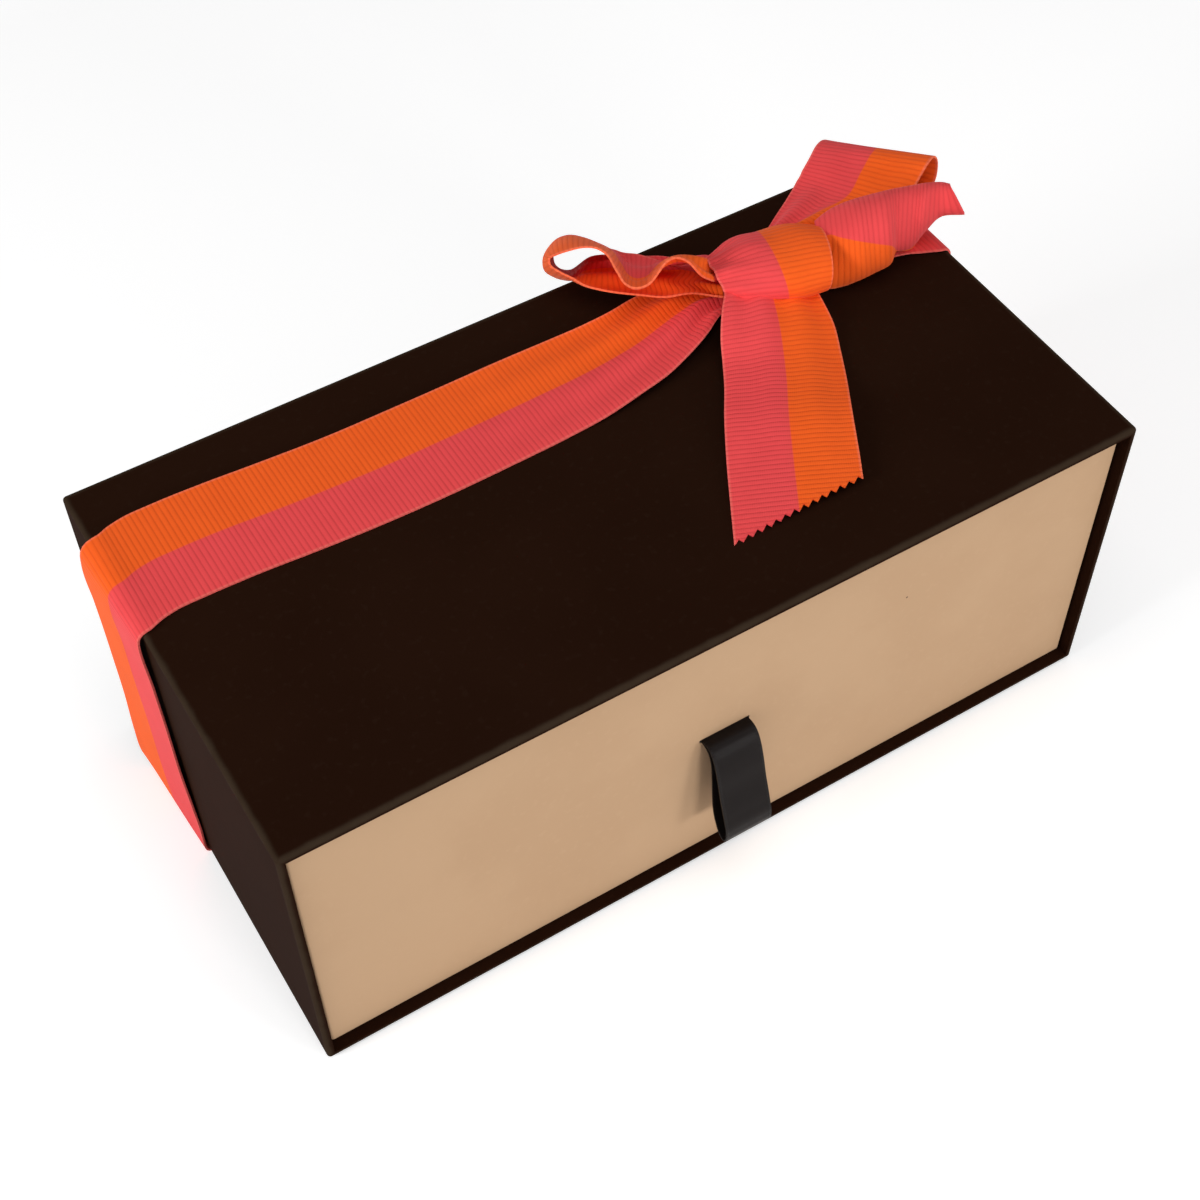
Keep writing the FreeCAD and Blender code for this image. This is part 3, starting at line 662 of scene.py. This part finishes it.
@dataclass(kw_only=True)
class Furl(Sheet):
    """A ribbon curled through sections, each an arc through its two edges and its middle."""

    foot: Point
    rows: Rows
    columns: int = 30
    spacing: float = 0.6
    pleats: float = 2.5
    pleat_depth: float = 0.5

    def arc(self, first: Array, middle: Array, second: Array) -> Array:
        """Points on the circle through three points, each half of the width turned evenly.

        Args:
            first: where the share is -0.5.
            middle: where the share is 0.
            second: where the share is 0.5.

        Returns:
            The points, pleated a little where the ribbon is drawn together.
        """
        share = self.shares()
        one, two = middle - first, second - first
        normal = np.cross(one, two)
        area = normal @ normal
        if area < STRAIGHT:
            return middle + share[:, None] * (second - first)
        centre = (two @ two) * np.cross(normal, one) + (one @ one) * np.cross(two, normal)
        centre = first + centre / (2 * area)
        radius = np.linalg.norm(middle - centre)
        out = (middle - centre) / radius
        side = np.cross(normal / math.sqrt(area), out)
        start = math.atan2((first - centre) @ side, (first - centre) @ out)
        end = math.atan2((second - centre) @ side, (second - centre) @ out)
        angle = np.where(share <= 0, -2 * share * start, 2 * share * end)[:, None]
        taken = min(radius * (end - start) / self.width, 1.0)
        slack = math.sqrt(1 / max(taken, LEAST_TAKEN) ** 2 - 1)
        wave = pleated(share, self.pleats) * slack * self.width * taken
        reach = radius + wave / (2 * math.pi * self.pleats) * self.pleat_depth
        return centre + reach[:, None] * (np.cos(angle) * out + np.sin(angle) * side)

    def grid(self) -> tuple[Array, Array, float]:
        """The points, how far along the ribbon each one lies, and the ribbon's length."""
        table = np.array(self.rows, float)
        way = travelled(table.reshape(-1, 3, 3).mean(axis=1))
        at = np.linspace(0.0, way[-1], max(int(way[-1] / self.spacing), LEAST_ROWS) + 1)
        sections = smooth_rows(table, way, at).reshape(-1, 3, 3) + np.array(self.foot)
        points = np.array([self.arc(*section) for section in sections])
        return points, np.broadcast_to(at[:, None], points.shape[:2]), at[-1]


def weave(
    name: str,
    points: Array,
    across: Array,
    distance: Array,
    thickness: float,
    finish: Material,
) -> bpy.types.Object:
    """Makes a sheet of ribbon from a grid of points and gives it its thickness.

    Args:
        name: the piece's name.
        points: the grid, rows along the ribbon and columns across it, in metres.
        across: how far from the pink edge each column lies, 0 to 1.
        distance: how far along each point lies, in millimetres.
        thickness: in millimetres.
        finish: the material.

    Returns:
        The piece.
    """
    rows, columns = points.shape[:2]
    index = np.arange(rows * columns).reshape(rows, columns)
    corners = (index[:-1, :-1], index[:-1, 1:], index[1:, 1:], index[1:, :-1])
    quads = np.stack(corners, axis=-1).reshape(-1, 4)
    mesh = bpy.data.meshes.new(name)
    mesh.from_pydata(points.reshape(-1, 3).tolist(), [], quads.tolist())
    layout = mesh.uv_layers.new(name=WEAVE_LAYOUT)
    place = np.broadcast_to(across, (rows, columns)).ravel()
    vertex = np.array([loop.vertex_index for loop in mesh.loops])
    layout_rows = np.stack([place[vertex], distance.ravel()[vertex]], axis=1)
    layout.data.foreach_set("uv", layout_rows.ravel())
    mesh.materials.append(finish)
    piece = bpy.data.objects.new(name, mesh)
    bpy.context.scene.collection.objects.link(piece)
    pick(piece)
    body = piece.modifiers.new("thickness", "SOLIDIFY")
    body.thickness = thickness * MM
    body.offset = 0.0
    body.use_even_offset = True
    body.use_quality_normals = True
    bpy.ops.object.modifier_apply(modifier=body.name)
    bpy.ops.object.mode_set(mode="EDIT")
    bpy.ops.mesh.select_all(action="SELECT")
    bpy.ops.mesh.normals_make_consistent(inside=False)
    bpy.ops.object.mode_set(mode="OBJECT")
    bpy.ops.object.shade_smooth_by_angle(angle=SMOOTH_ANGLE)
    piece.select_set(False)
    log.info("%s: %d faces", name, len(piece.data.polygons))
    return piece


def pick(piece: bpy.types.Object) -> None:
    """Makes one object the only selected one, and active."""
    bpy.ops.object.select_all(action="DESELECT")
    bpy.context.view_layer.objects.active = piece
    piece.select_set(True)


@dataclass(frozen=True)
class Turn:
    """How one edge of the ribbon goes round a corner of the sleeve, in millimetres.

    It lies aside of the knot, off the end wall and off the lid or the floor, round a radius.
    """

    aside: float
    off_end: float
    off_face: float
    radius: float


# Sections of the bow's two curled parts, in millimetres from the knot's foot on the lid: the first
# edge, the line between the colours and the second edge, each along the box, across it and up.
LEFT_LOOP = (
    (-13.4, 1.9, 7.5, -10.1, 6.8, 6.7, -7.7, 10.4, 4.2),
    (-16.8, 1.7, 11.0, -12.6, 7.0, 9.1, -9.6, 10.9, 4.9),
    (-19.0, 3.1, 14.5, -14.6, 8.9, 9.2, -11.1, 13.3, 3.5),
    (-20.9, 4.4, 15.5, -16.5, 10.9, 8.5, -13.4, 15.0, 2.7),
    (-22.6, 4.9, 15.0, -18.3, 11.9, 7.7, -14.8, 16.7, 2.0),
    (-24.7, 4.6, 13.8, -20.2, 12.5, 6.8, -16.1, 18.4, 1.7),
    (-27.3, 4.4, 12.4, -22.3, 12.8, 5.5, -17.5, 20.1, 2.1),
    (-29.5, 5.2, 11.8, -24.1, 13.7, 5.0, -19.1, 21.7, 2.5),
    (-30.9, 7.3, 11.8, -25.1, 15.9, 4.8, -20.0, 24.6, 1.1),
    (-31.0, 10.5, 12.6, -25.0, 19.0, 5.3, -19.9, 28.5, -1.1),
    (-30.6, 14.7, 13.4, -24.7, 22.7, 5.5, -20.3, 31.5, -2.5),
    (-31.5, 17.4, 13.6, -26.0, 25.7, 5.7, -21.3, 34.1, -2.6),
    (-33.3, 19.4, 13.2, -27.9, 28.5, 6.1, -23.2, 36.4, -2.7),
    (-35.7, 21.3, 12.0, -30.3, 31.0, 5.9, -25.6, 38.7, -3.1),
    (-37.7, 22.9, 10.6, -32.7, 32.6, 4.2, -27.5, 40.0, -4.8),
    (-38.7, 23.9, 9.2, -35.1, 32.8, 0.9, -28.7, 40.4, -7.0),
    (-38.9, 23.1, 8.0, -35.7, 31.4, -1.0, -29.1, 39.2, -8.5),
    (-37.9, 21.4, 7.3, -34.8, 29.7, -1.8, -28.6, 37.9, -9.2),
    (-36.3, 19.1, 6.8, -32.6, 27.4, -1.9, -27.4, 35.7, -8.7),
    (-34.2, 16.1, 6.0, -28.7, 25.2, 0.7, -25.6, 29.6, -1.2),
    (-30.5, 13.3, 5.0, -24.7, 22.8, 1.4, -22.6, 26.4, 0.4),
    (-26.2, 10.4, 4.2, -20.3, 19.3, 1.7, -18.4, 22.6, 1.0),
    (-21.8, 7.7, 3.6, -16.2, 16.0, 1.9, -14.0, 19.4, 1.3),
    (-16.4, 5.1, 3.6, -12.2, 11.1, 2.4, -10.0, 14.6, 1.7),
    (-11.4, 1.1, 4.0, -9.2, 4.7, 2.8, -7.0, 8.5, 2.2),
)
RIGHT_TAIL = (
    (12.6, 3.9, 10.0, 9.2, -1.1, 9.2, 8.2, -3.4, 2.0),
    (15.4, 4.1, 11.0, 11.9, -1.5, 10.8, 9.2, -6.0, 1.3),
    (18.0, 3.6, 12.0, 13.2, -4.5, 11.8, 12.5, -7.0, 1.0),
    (20.6, 2.6, 13.0, 15.1, -7.3, 12.2, 16.5, -7.2, 0.9),
    (23.8, 1.6, 13.5, 18.1, -8.7, 11.2, 20.7, -6.9, 1.0),
    (27.1, 0.6, 13.8, 21.4, -9.9, 10.0, 24.3, -6.8, 1.6),
    (30.4, -0.5, 14.0, 25.8, -7.4, 4.9, 28.9, -3.8, 2.1),
    (33.5, -1.4, 14.0, 28.8, -7.8, 4.4, 32.5, -3.7, 1.0),
    (36.5, -2.5, 14.0, 32.9, -7.2, 6.8, 37.3, -2.0, 7.2),
    (38.5, -3.6, 14.0, 36.4, -7.2, 9.1, 39.8, -2.8, 8.7),
    (39.7, -5.0, 14.0, 39.9, -10.3, 10.3, 41.9, -5.4, 9.6),
)
# Stations of its flatter parts and of the band, from the same foot: the middle, then the turn and
# the dip of the across direction in degrees, the curl over the width and the share of the width
# that isn't gathered.
BACK_LOOP = (
    (8.0, 7.2, 7.2, -50, 8, 0, 0.34), (16.4, 7.8, 7.6, -66, 10, 0, 0.68),
    (24.3, 8.4, 8.3, -69, 10, 0, 1.0), (29.9, 11.3, 10.6, -60, 8, 0, 0.97),
    (33.5, 13.2, 12.0, -59, 11, 0, 1.0), (35.8, 14.4, 11.6, -58, 11, 0, 1.0),
    (37.6, 15.0, 9.8, -60, 9, 0, 1.0), (38.0, 14.7, 6.4, -66, 7, 0, 1.0),
    (31.0, 13.4, 4.2, -68, 6, 0, 1.0), (20.1, 10.2, 3.4, -68, 3, 0, 0.7),
    (8.0, 6.6, 3.2, -55, -3, 0, 0.34),
)
FRONT_TAIL = (
    (-2.6, -2.0, 6.2, -14, -9, -20, 0.72), (-4.7, -6.6, 5.9, -12, -10, -26, 0.86),
    (-7.4, -13.0, 4.5, -15, -8, -28, 0.97), (-10.0, -18.2, 3.1, -20, -5, -28, 0.97),
    (-13.5, -24.4, 2.7, -24, -3, -22, 0.97), (-17.8, -31.2, 2.8, -26, 0, -14, 0.98),
    (-24.0, -42.0, 1.8, -27, 2, -8, 1.0), (-33.0, -58.0, 0.9, -27, 3, -4, 1.0),
)
BAND_START = (
    (0.5, 0.0, 0.45, 90, 0, 0, 0.36), (8.5, -0.2, 0.45, 90, 0, 0, 0.4),
    (14.5, 0.7, 0.6, 88, 0, 0, 0.5), (21.5, 2.7, 0.6, 88, 0, 0, 0.65),
    (28.5, 4.6, 0.5, 89, 0, 0, 0.8), (34.0, 4.4, 0.4, 90, 0, 0, 0.95),
)
BAND_END = (
    (-141.0, 0.1, 0.4, 90, 0, 0, 1.0), (-137.5, 0.85, 0.3, 90, 0, 0, 1.0),
    (-132.5, 0.95, 0.3, 90, 0, 0, 1.0), (-122.0, 0.65, 0.3, 90, 0, 0, 1.0),
    (-111.5, -0.1, 0.3, 90, 0, 0, 1.0), (-95.5, -0.9, 0.3, 90, 0, 0, 1.0),
    (-72.0, -0.9, 0.3, 90, 0, 0, 1.0), (-56.0, -0.6, 0.35, 90, 0, 0, 0.98),
    (-47.0, -0.4, 0.5, 90, -1, 0, 0.96), (-39.0, 0.1, 0.8, 90, -3, 0, 0.92),
    (-31.5, 0.9, 1.2, 91, -4, 0, 0.88), (-25.5, 2.4, 1.4, 92, -5, 0, 0.83),
    (-20.0, 3.8, 1.4, 93, -6, 0, 0.74), (-14.5, 5.0, 1.1, 94, -5, 0, 0.55),
    (-11.0, 4.4, 0.8, 92, -3, 0, 0.42),
    (-6.0, 1.6, 0.5, 90, 0, 0, 0.36), (-0.5, 0.0, 0.45, 90, 0, 0, 0.36),
)
# The sleeve's corners in the order in which the ribbon passes them: the right or the left end,
# over or under, and how its front edge and its back edge go round.
CORNERS = (
    (1, 1, Turn(-9.0, 0.4, 0.4, 2.0), Turn(16.3, 0.4, 0.4, 2.0)),
    (1, -1, Turn(-11.4, 0.4, 0.05, 1.4), Turn(13.9, 0.5, 0.05, 1.5)),
    (-1, -1, Turn(-13.8, 0.5, 0.05, 1.5), Turn(11.5, 2.0, 0.05, 3.0)),
    (-1, 1, Turn(-13.9, 0.9, 0.35, 2.4), Turn(11.5, 1.9, 0.5, 3.6)),
)
# The middle of the ribbon down the right end and under the floor, where it lies flat.
RIGHT_END = ((92.62, 25.2, 62.0), (92.65, 24.4, 38.0), (92.65, 23.5, 10.0))
UNDER = (
    (84.0, 23.15, -0.25), (40.0, 22.6, -0.25), (0.0, 22.0, -0.25), (-40.0, 21.4, -0.25),
    (-84.0, 20.85, -0.25),
)
# Up the left end the ribbon stands off the wall: its height, then how far off each edge is.
SLACK = ((8.0, 0.6, 3.0), (16.0, 0.8, 2.9), (28.0, 1.0, 2.5), (42.0, 1.0, 2.3), (58.0, 1.0, 2.2))
# The strap's ovals: along the knot, breadth, depth, lift of the middle and how far aside.
KNOT_OVALS = (
    (-14.5, 9.0, 7.4, 5.4, 0.2), (-12.2, 11.0, 8.4, 5.6, 0.3), (-8.0, 15.0, 9.6, 6.4, 0.6),
    (0.0, 18.0, 10.4, 6.8, 0.8), (7.0, 17.6, 10.4, 6.9, 0.8), (12.2, 15.5, 9.4, 6.7, 0.6),
    (15.5, 13.5, 8.2, 6.4, 0.4),
)


@dataclass
class GiftRibbon:
    """The two-colour ribbon: round the sleeve, and tied in a bow near its right end."""

    width: float = 25.4
    thickness: float = 0.4
    half_length: float = 92.0
    knot: Point = (53.5, 21.95, 74.1)
    left_front: float = -13.85
    left_back: float = 11.5
    cut_y: float = -29.95
    corner_steps: int = 6

    def near_knot(self, rows: Rows) -> Stations:
        """Stations from rows that are measured from the knot's foot.

        Args:
            rows: the stations.

        Returns:
            The middles, the across directions, the curls and the gathers.
        """
        table = np.array(rows, float)
        across = np.array([heading(turn, dip) for turn, dip in table[:, 3:5]])
        return table[:, :3] + np.array(self.knot), across, table[:, 5], table[:, 6]

    def turned(self, side: int, level: int, turn: Turn, share: float) -> Array:
        """A point of one edge, part of the way round a corner.

        Args:
            side: 1 at the right end, -1 at the left.
            level: 1 over the lid, -1 under the floor.
            turn: how the edge goes round.
            share: how far round, from the lid or floor, 0, to the end wall, 1.

        Returns:
            The point, in millimetres.
        """
        face = self.knot[2] if level > 0 else 0.0
        centre_x = self.half_length + turn.off_end + self.thickness / 2 - turn.radius
        centre_z = turn.off_face + self.thickness / 2 - turn.radius
        angle = math.radians(90 * share)
        return np.array([
            side * (centre_x + turn.radius * math.sin(angle)),
            self.knot[1] + turn.aside,
            face + level * (centre_z + turn.radius * math.cos(angle)),
        ])

    def corner(self, side: int, level: int, front: Turn, back: Turn) -> Stations:
        """The stations round one corner, in the order in which the ribbon passes them."""
        shares = np.linspace(0, 1, self.corner_steps + 1)
        if side * level < 0:
            shares = shares[::-1]
        low = np.array([self.turned(side, level, front, share) for share in shares])
        high = np.array([self.turned(side, level, back, share) for share in shares])
        return (low + high) / 2, units(high - low), np.zeros(len(shares)), np.ones(len(shares))

    def slack(self, height: float, front: float, back: float) -> Stations:
        """A station up the left end, where the ribbon stands off the wall.

        Args:
            height: above the box's floor.
            front: how far off the front edge is.
            back: how far off the back edge is.

        Returns:
            The middle, the across direction, the curl and the gather.
        """
        low = np.array([-self.half_length - front, self.knot[1] + self.left_front, height])
        high = np.array([-self.half_length - back, self.knot[1] + self.left_back, height])
        return (low + high)[None] / 2, units(high - low)[None], np.zeros(1), np.ones(1)

    def flat(self, middles: Rows) -> Stations:
        """Stations where the ribbon lies flat on the sleeve at its full width."""
        count = len(middles)
        across = np.tile((0.0, 1.0, 0.0), (count, 1))
        return np.array(middles), across, np.zeros(count), np.ones(count)

    def around(self) -> list[Stations]:
        """The band's stations: from the knot to the right, under the box and back over the lid."""
        over, under, under_left, over_left = (self.corner(*corner) for corner in CORNERS)
        left_end = [self.slack(*station) for station in SLACK]
        return [
            self.near_knot(BAND_START), over, self.flat(RIGHT_END), under, self.flat(UNDER),
            under_left, *left_end, over_left, self.near_knot(BAND_END),
        ]

    def part(
        self, kind: type[Sheet], name: str, node: str, held: Held, rests_on: tuple[str, ...],
        **more: object,
    ) -> Sheet:
        """A stretch of this ribbon.

        Args:
            kind: how its shape is given.
            name: the piece's name.
            node: the CAD node that it stands for.
            held: how it is held.
            rests_on: what it lies on or comes from.
            more: further fields of that kind.

        Returns:
            The stretch.
        """
        return kind(
            name=name, nodes=(node,), slot="grosgrain_ribbon", width=self.width,
            thickness=self.thickness, held=held, rests_on=rests_on, **more,
        )

    def build(self, finish: Material) -> None:
        """Makes the band, the loops, the tails and the strap of the knot."""
        band = tuple(np.concatenate(parts) for parts in zip(*self.around()))
        strap, cover = "gift_ribbon_strap", "sleeve_cover"
        parts = (
            self.part(
                Strip, "gift_ribbon_band", "ribbon_band", Held.STRETCHED, (cover,),
                stations=band, columns=20, spacing=1.0, ripple=0.05,
            ),
            self.part(
                Strip, "gift_ribbon_back_loop", "bow_back_loop", Held.FOLDED, (strap,),
                stations=self.near_knot(BACK_LOOP),
            ),
            self.part(
                Strip, "gift_ribbon_front_tail", "bow_front_tail", Held.LAID, (strap, cover),
                stations=self.near_knot(FRONT_TAIL), columns=56, end_y=self.cut_y, tooth=0.5,
            ),
            self.part(
                Furl, "gift_ribbon_left_loop", "bow_left_loop", Held.FOLDED, (strap, cover),
                foot=self.knot, rows=LEFT_LOOP, edge=Edge.ORANGE_FIRST,
            ),
            self.part(
                Furl, "gift_ribbon_right_tail", "bow_right_tail", Held.GATHERED, (strap,),
                foot=self.knot, rows=RIGHT_TAIL, pleat_depth=0.12,
            ),
            self.part(
                Strap, strap, "bow_knot", Held.GATHERED, ("gift_ribbon_band",), foot=self.knot
            ),
        )
        for part in parts:
            part.build(finish)


@dataclass(kw_only=True)
class Strap(Sheet):
    """The turn of ribbon that holds the bow: pinched at its left edge, full in its middle.

    The lines are the pink edge, the middle and the orange edge: where each lies along the knot,
    how far it sways over the turn and from which angle in degrees. The pinch is where the folds
    start and how far they reach. Folds and swells have a height and waves round and along.
    """

    foot: Point
    ovals: Rows = KNOT_OVALS
    lines: Rows = ((-12.0, -1.5, 25), (-0.2, -1.3, 45), (10.2, 0.9, 25))
    turn: float = -18.5
    start: float = -115.0
    stop: float = 250.0
    steps: int = 120
    columns: int = 44
    pinch: Span = (13.0, 12.0)
    folds: Point = (0.35, 9.0, 0.25)
    swells: Point = (0.18, 2.2, 0.55)

    def place(self, angle: Array, share: Array) -> Array:
        """How far along the knot each part lies: the colours lean to the left over the top."""
        pink_edge, middle, orange_edge = (
            at + sway * np.sin(angle - math.radians(phase)) for at, sway, phase in self.lines
        )
        bend = pink_edge + orange_edge - 2 * middle
        return middle + (orange_edge - pink_edge) * share + 2 * bend * share**2

    def wrinkles(self, place: Array, angle: Array) -> Array:
        """Folds drawn in from the pinched edge and soft swells, as heights in millimetres."""
        edge, reach = self.pinch
        pull = np.clip(1 - (place + edge) / reach, 0, 1)
        fold, swell = (
            height * np.sin(turns * angle + along * place)
            for height, turns, along in (self.folds, self.swells)
        )
        return pull * fold + swell

    def grid(self) -> tuple[Array, Array, float]:
        """The points, how far round each one lies, and the strap's length."""
        along, aside = heading(self.turn, 0), heading(self.turn + 90, 0)
        table = np.array(self.ovals)
        angle = np.radians(np.linspace(self.start, self.stop, self.steps + 1))[:, None]
        place = self.place(angle, self.shares()[None, :])
        rows = smooth_rows(table[:, 1:], table[:, 0], place.ravel()).reshape(place.shape + (4,))
        breadth, depth, lift, offset = np.moveaxis(rows, -1, 0)
        swell = self.wrinkles(place, angle)
        points = (
            np.array(self.foot)
            + place[..., None] * along
            + (offset - (breadth / 2 + swell) * np.cos(angle))[..., None] * aside
            + (lift + (depth / 2 + swell) * np.sin(angle))[..., None] * np.array([0.0, 0.0, 1.0])
        )
        steps = np.linalg.norm(np.diff(points, axis=0), axis=2).mean(axis=1)
        distance = np.concatenate([[0.0], np.cumsum(steps)])
        return points, np.broadcast_to(distance[:, None], place.shape), float(distance[-1])


# The pull tab from one glued end, inside the drawer, to the other, in millimetres: how far back
# of the swing axis and how far above it the middle of the ribbon lies.
TAB_PATH = (
    (2.45, -14.4), (2.45, -6.0), (2.45, -1.4), (2.3, -0.4), (1.9, 0.1), (1.1, 0.18), (0.4, 0.2),
    (-0.3, 0.3), (-1.0, 0.4), (-2.2, 0.2), (-3.4, -0.9), (-4.4, -2.8), (-5.4, -5.6), (-6.7, -10.4),
    (-8.6, -16.2), (-9.6, -20.0), (-9.5, -22.4), (-8.4, -23.5), (-7.2, -22.7), (-5.9, -20.6),
    (-4.8, -17.4), (-4.2, -13.0), (-3.7, -7.4), (-3.1, -3.2), (-2.0, -0.9), (-1.0, -0.35),
    (-0.3, -0.2), (0.4, -0.18), (1.1, -0.2), (1.7, -0.4), (2.1, -1.0), (2.15, -2.0), (2.15, -6.0),
    (2.15, -14.4),
)


@dataclass
class PullTab:
    """The satin ribbon that the drawer is pulled by: a loop, with its ends through the slot.
    """

    swing: Point = (-0.8, -45.15, 39.9)
    width: float = 10.7
    thickness: float = 0.3
    face: float = -44.65
    bend: float = 0.6

    def build(self, finish: Material) -> None:
        """Makes the tab as one piece."""
        path = np.array(TAB_PATH)
        none, full = np.zeros(len(path)), np.ones(len(path))
        middles = np.array(self.swing) + np.stack([none, path[:, 0], path[:, 1]], axis=1)
        across = np.tile([1.0, 0.0, 0.0], (len(path), 1))
        piece = Strip(
            name="satin_pull_tab",
            nodes=("pull_tab_loop", "tab_tails"),
            slot="satin_ribbon",
            width=self.width,
            thickness=self.thickness,
            held=Held.FOLDED,
            rests_on=("drawer_front_board",),
            stations=(middles, across, none, full),
            columns=12,
            spacing=0.35,
        ).mesh(finish)
        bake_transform(piece)


@dataclass
class Papers:
    """Gives the boards and papers of the sleeve and the drawer their materials."""

    nodes: dict[str, bpy.types.Object]

    def dress(self) -> None:
        """Sets one material on each CAD node that stays in view."""
        board, cream = Greyboard().material(), CREAM_PAPER.material()
        papers = {
            "sleeve_cover": DARK_PAPER.material(),
            "sleeve_lining": LINING_PAPER.material(),
            "drawer_cover": cream,
            "drawer_lining": cream,
            "tab_patch": cream,
        }
        for name, node in self.nodes.items():
            finish = board if name.endswith("_board") else papers.get(name)
            if finish is None:
                continue
            node.data.materials.clear()
            node.data.materials.append(finish)
            log.info("%s: %s", name, finish.name)


@dataclass(frozen=True)
class Softbox:
    """An area light that looks at the box, placed by its angles as seen from the box's front."""

    name: str
    azimuth: float
    elevation: float
    distance: float
    size: float
    power: float

    def build(self, target: Vector) -> None:
        """Sets up the light, looking at the target."""
        azimuth, elevation = math.radians(self.azimuth), math.radians(self.elevation)
        flat = math.cos(elevation)
        way = Vector((flat * math.sin(azimuth), -flat * math.cos(azimuth), math.sin(elevation)))
        bpy.ops.object.light_add(type="AREA", location=target + way * self.distance)
        light = bpy.context.object
        light.name = self.name
        light.data.shape = "SQUARE"
        light.data.size = self.size
        light.data.energy = self.power
        light.rotation_euler = way.to_track_quat("Z", "Y").to_euler()


WHITE = (1.0, 1.0, 1.0, 1.0)


@dataclass
class Studio:
    """The camera at the photograph's angle, soft lights, a pale floor and white surroundings."""

    position: Point = (-0.13032, -0.21608, 0.35383)
    target: Point = (0.011256, 0.021798, 0.0)
    roll: float = -0.8146
    lens: float = 59.03
    lights: tuple[Softbox, ...] = (
        Softbox("front", 1.0, 14.0, 0.8, 0.17, 1.6),
        Softbox("front_right", 22.0, 12.0, 0.8, 0.17, 1.1),
        Softbox("left", -90.0, 22.0, 0.9, 0.3, 4.0),
        Softbox("top", 0.0, 80.0, 0.9, 0.7, 2.5),
    )
    lit_point: Point = (0.0, 0.0, 0.04)
    surroundings: float = 0.25
    floor_size: float = 6.0
    floor_tone: Colour = (0.84, 0.84, 0.84, 1.0)
    floor_white: float = 0.45
    floor_fade: Span = (0.3, 0.9)

    def camera(self) -> None:
        """Creates the camera."""
        place = Vector(self.position)
        ahead = (Vector(self.target) - place).normalized()
        right = ahead.cross(Vector((0, 0, 1))).normalized()
        up = right.cross(ahead)
        cosine, sine = math.cos(math.radians(self.roll)), math.sin(math.radians(self.roll))
        right, up = right * cosine + up * sine, up * cosine - right * sine
        turn = Matrix((right, up, -ahead)).transposed()
        bpy.ops.object.camera_add(location=place, rotation=turn.to_euler())
        camera = bpy.context.object
        camera.name = "camera"
        camera.data.sensor_width = 36.0
        camera.data.lens = self.lens
        camera.data.clip_start = 0.01
        bpy.context.scene.camera = camera

    def seen(self, tree: bpy.types.NodeTree, unseen: float, seen: float) -> Socket:
        """A strength for rays that come from the camera, also by gloss or through glass.

        Args:
            tree: the node tree.
            unseen: the strength for all other rays.
            seen: the strength for those rays.

        Returns:
            The strength's socket.
        """
        rays = tree.nodes.new("ShaderNodeLightPath")
        most = rays.outputs["Is Camera Ray"]
        for kind in ("Is Glossy Ray", "Is Transmission Ray"):
            either = tree.nodes.new("ShaderNodeMath")
            either.operation = "MAXIMUM"
            tree.links.new(most, either.inputs[0])
            tree.links.new(rays.outputs[kind], either.inputs[1])
            most = either.outputs[0]
        strength = tree.nodes.new("ShaderNodeMapRange")
        strength.inputs["To Min"].default_value = unseen
        strength.inputs["To Max"].default_value = seen
        tree.links.new(most, strength.inputs["Value"])
        return strength.outputs["Result"]

    def floor(self) -> None:
        """Lays the pale floor, whiter to the camera the further off it is, with its shadow kept."""
        bpy.ops.mesh.primitive_plane_add(size=self.floor_size, location=(0, 0, CAD_BOX[0][2]))
        floor = bpy.context.object
        floor.name = "floor"
        shader = Shader("pale floor", roughness=0.9, specular=0.05)
        shader.colour(self.floor_tone)
        shader.put(shader.surface.inputs["Emission Color"], WHITE)
        away = shader.tree.nodes.new("ShaderNodeVectorMath")
        away.operation = "LENGTH"
        shader.put(away.inputs[0], shader.place()[0])
        glow = shader.tree.nodes.new("ShaderNodeMapRange")
        shader.put(glow.inputs["Value"], away.outputs["Value"])
        near, far = self.floor_fade
        shader.put(glow.inputs["From Min"], near)
        shader.put(glow.inputs["From Max"], far)
        shader.put(glow.inputs["To Min"], self.floor_white)
        camera_only = self.seen(shader.tree, 0.0, 1.0)
        strength = shader.math("MULTIPLY", glow.outputs["Result"], camera_only)
        shader.put(shader.surface.inputs["Emission Strength"], strength)
        floor.data.materials.append(shader.material)

    def world(self) -> None:
        """White behind the object for the camera, and a weak even light for everything else."""
        world = bpy.data.worlds.new("surroundings")
        bpy.context.scene.world = world
        world.use_nodes = True
        tree = world.node_tree
        background = tree.nodes["Background"]
        background.inputs["Color"].default_value = WHITE
        tree.links.new(self.seen(tree, self.surroundings, 1.0), background.inputs["Strength"])

    def build(self) -> None:
        """Sets up everything round the object."""
        self.camera()
        self.floor()
        self.world()
        for light in self.lights:
            light.build(Vector(self.lit_point))
        bpy.context.scene.view_settings.view_transform = "Standard"


def main() -> None:
    """Builds the studio and dresses the box."""
    logging.basicConfig(level=logging.INFO, format="%(message)s")
    Studio().build()
    Papers(frame["nodes"]).dress()
    GiftRibbon().build(Grosgrain().material())
    PullTab().build(Satin().material())


if __name__ == "__main__":
    main()
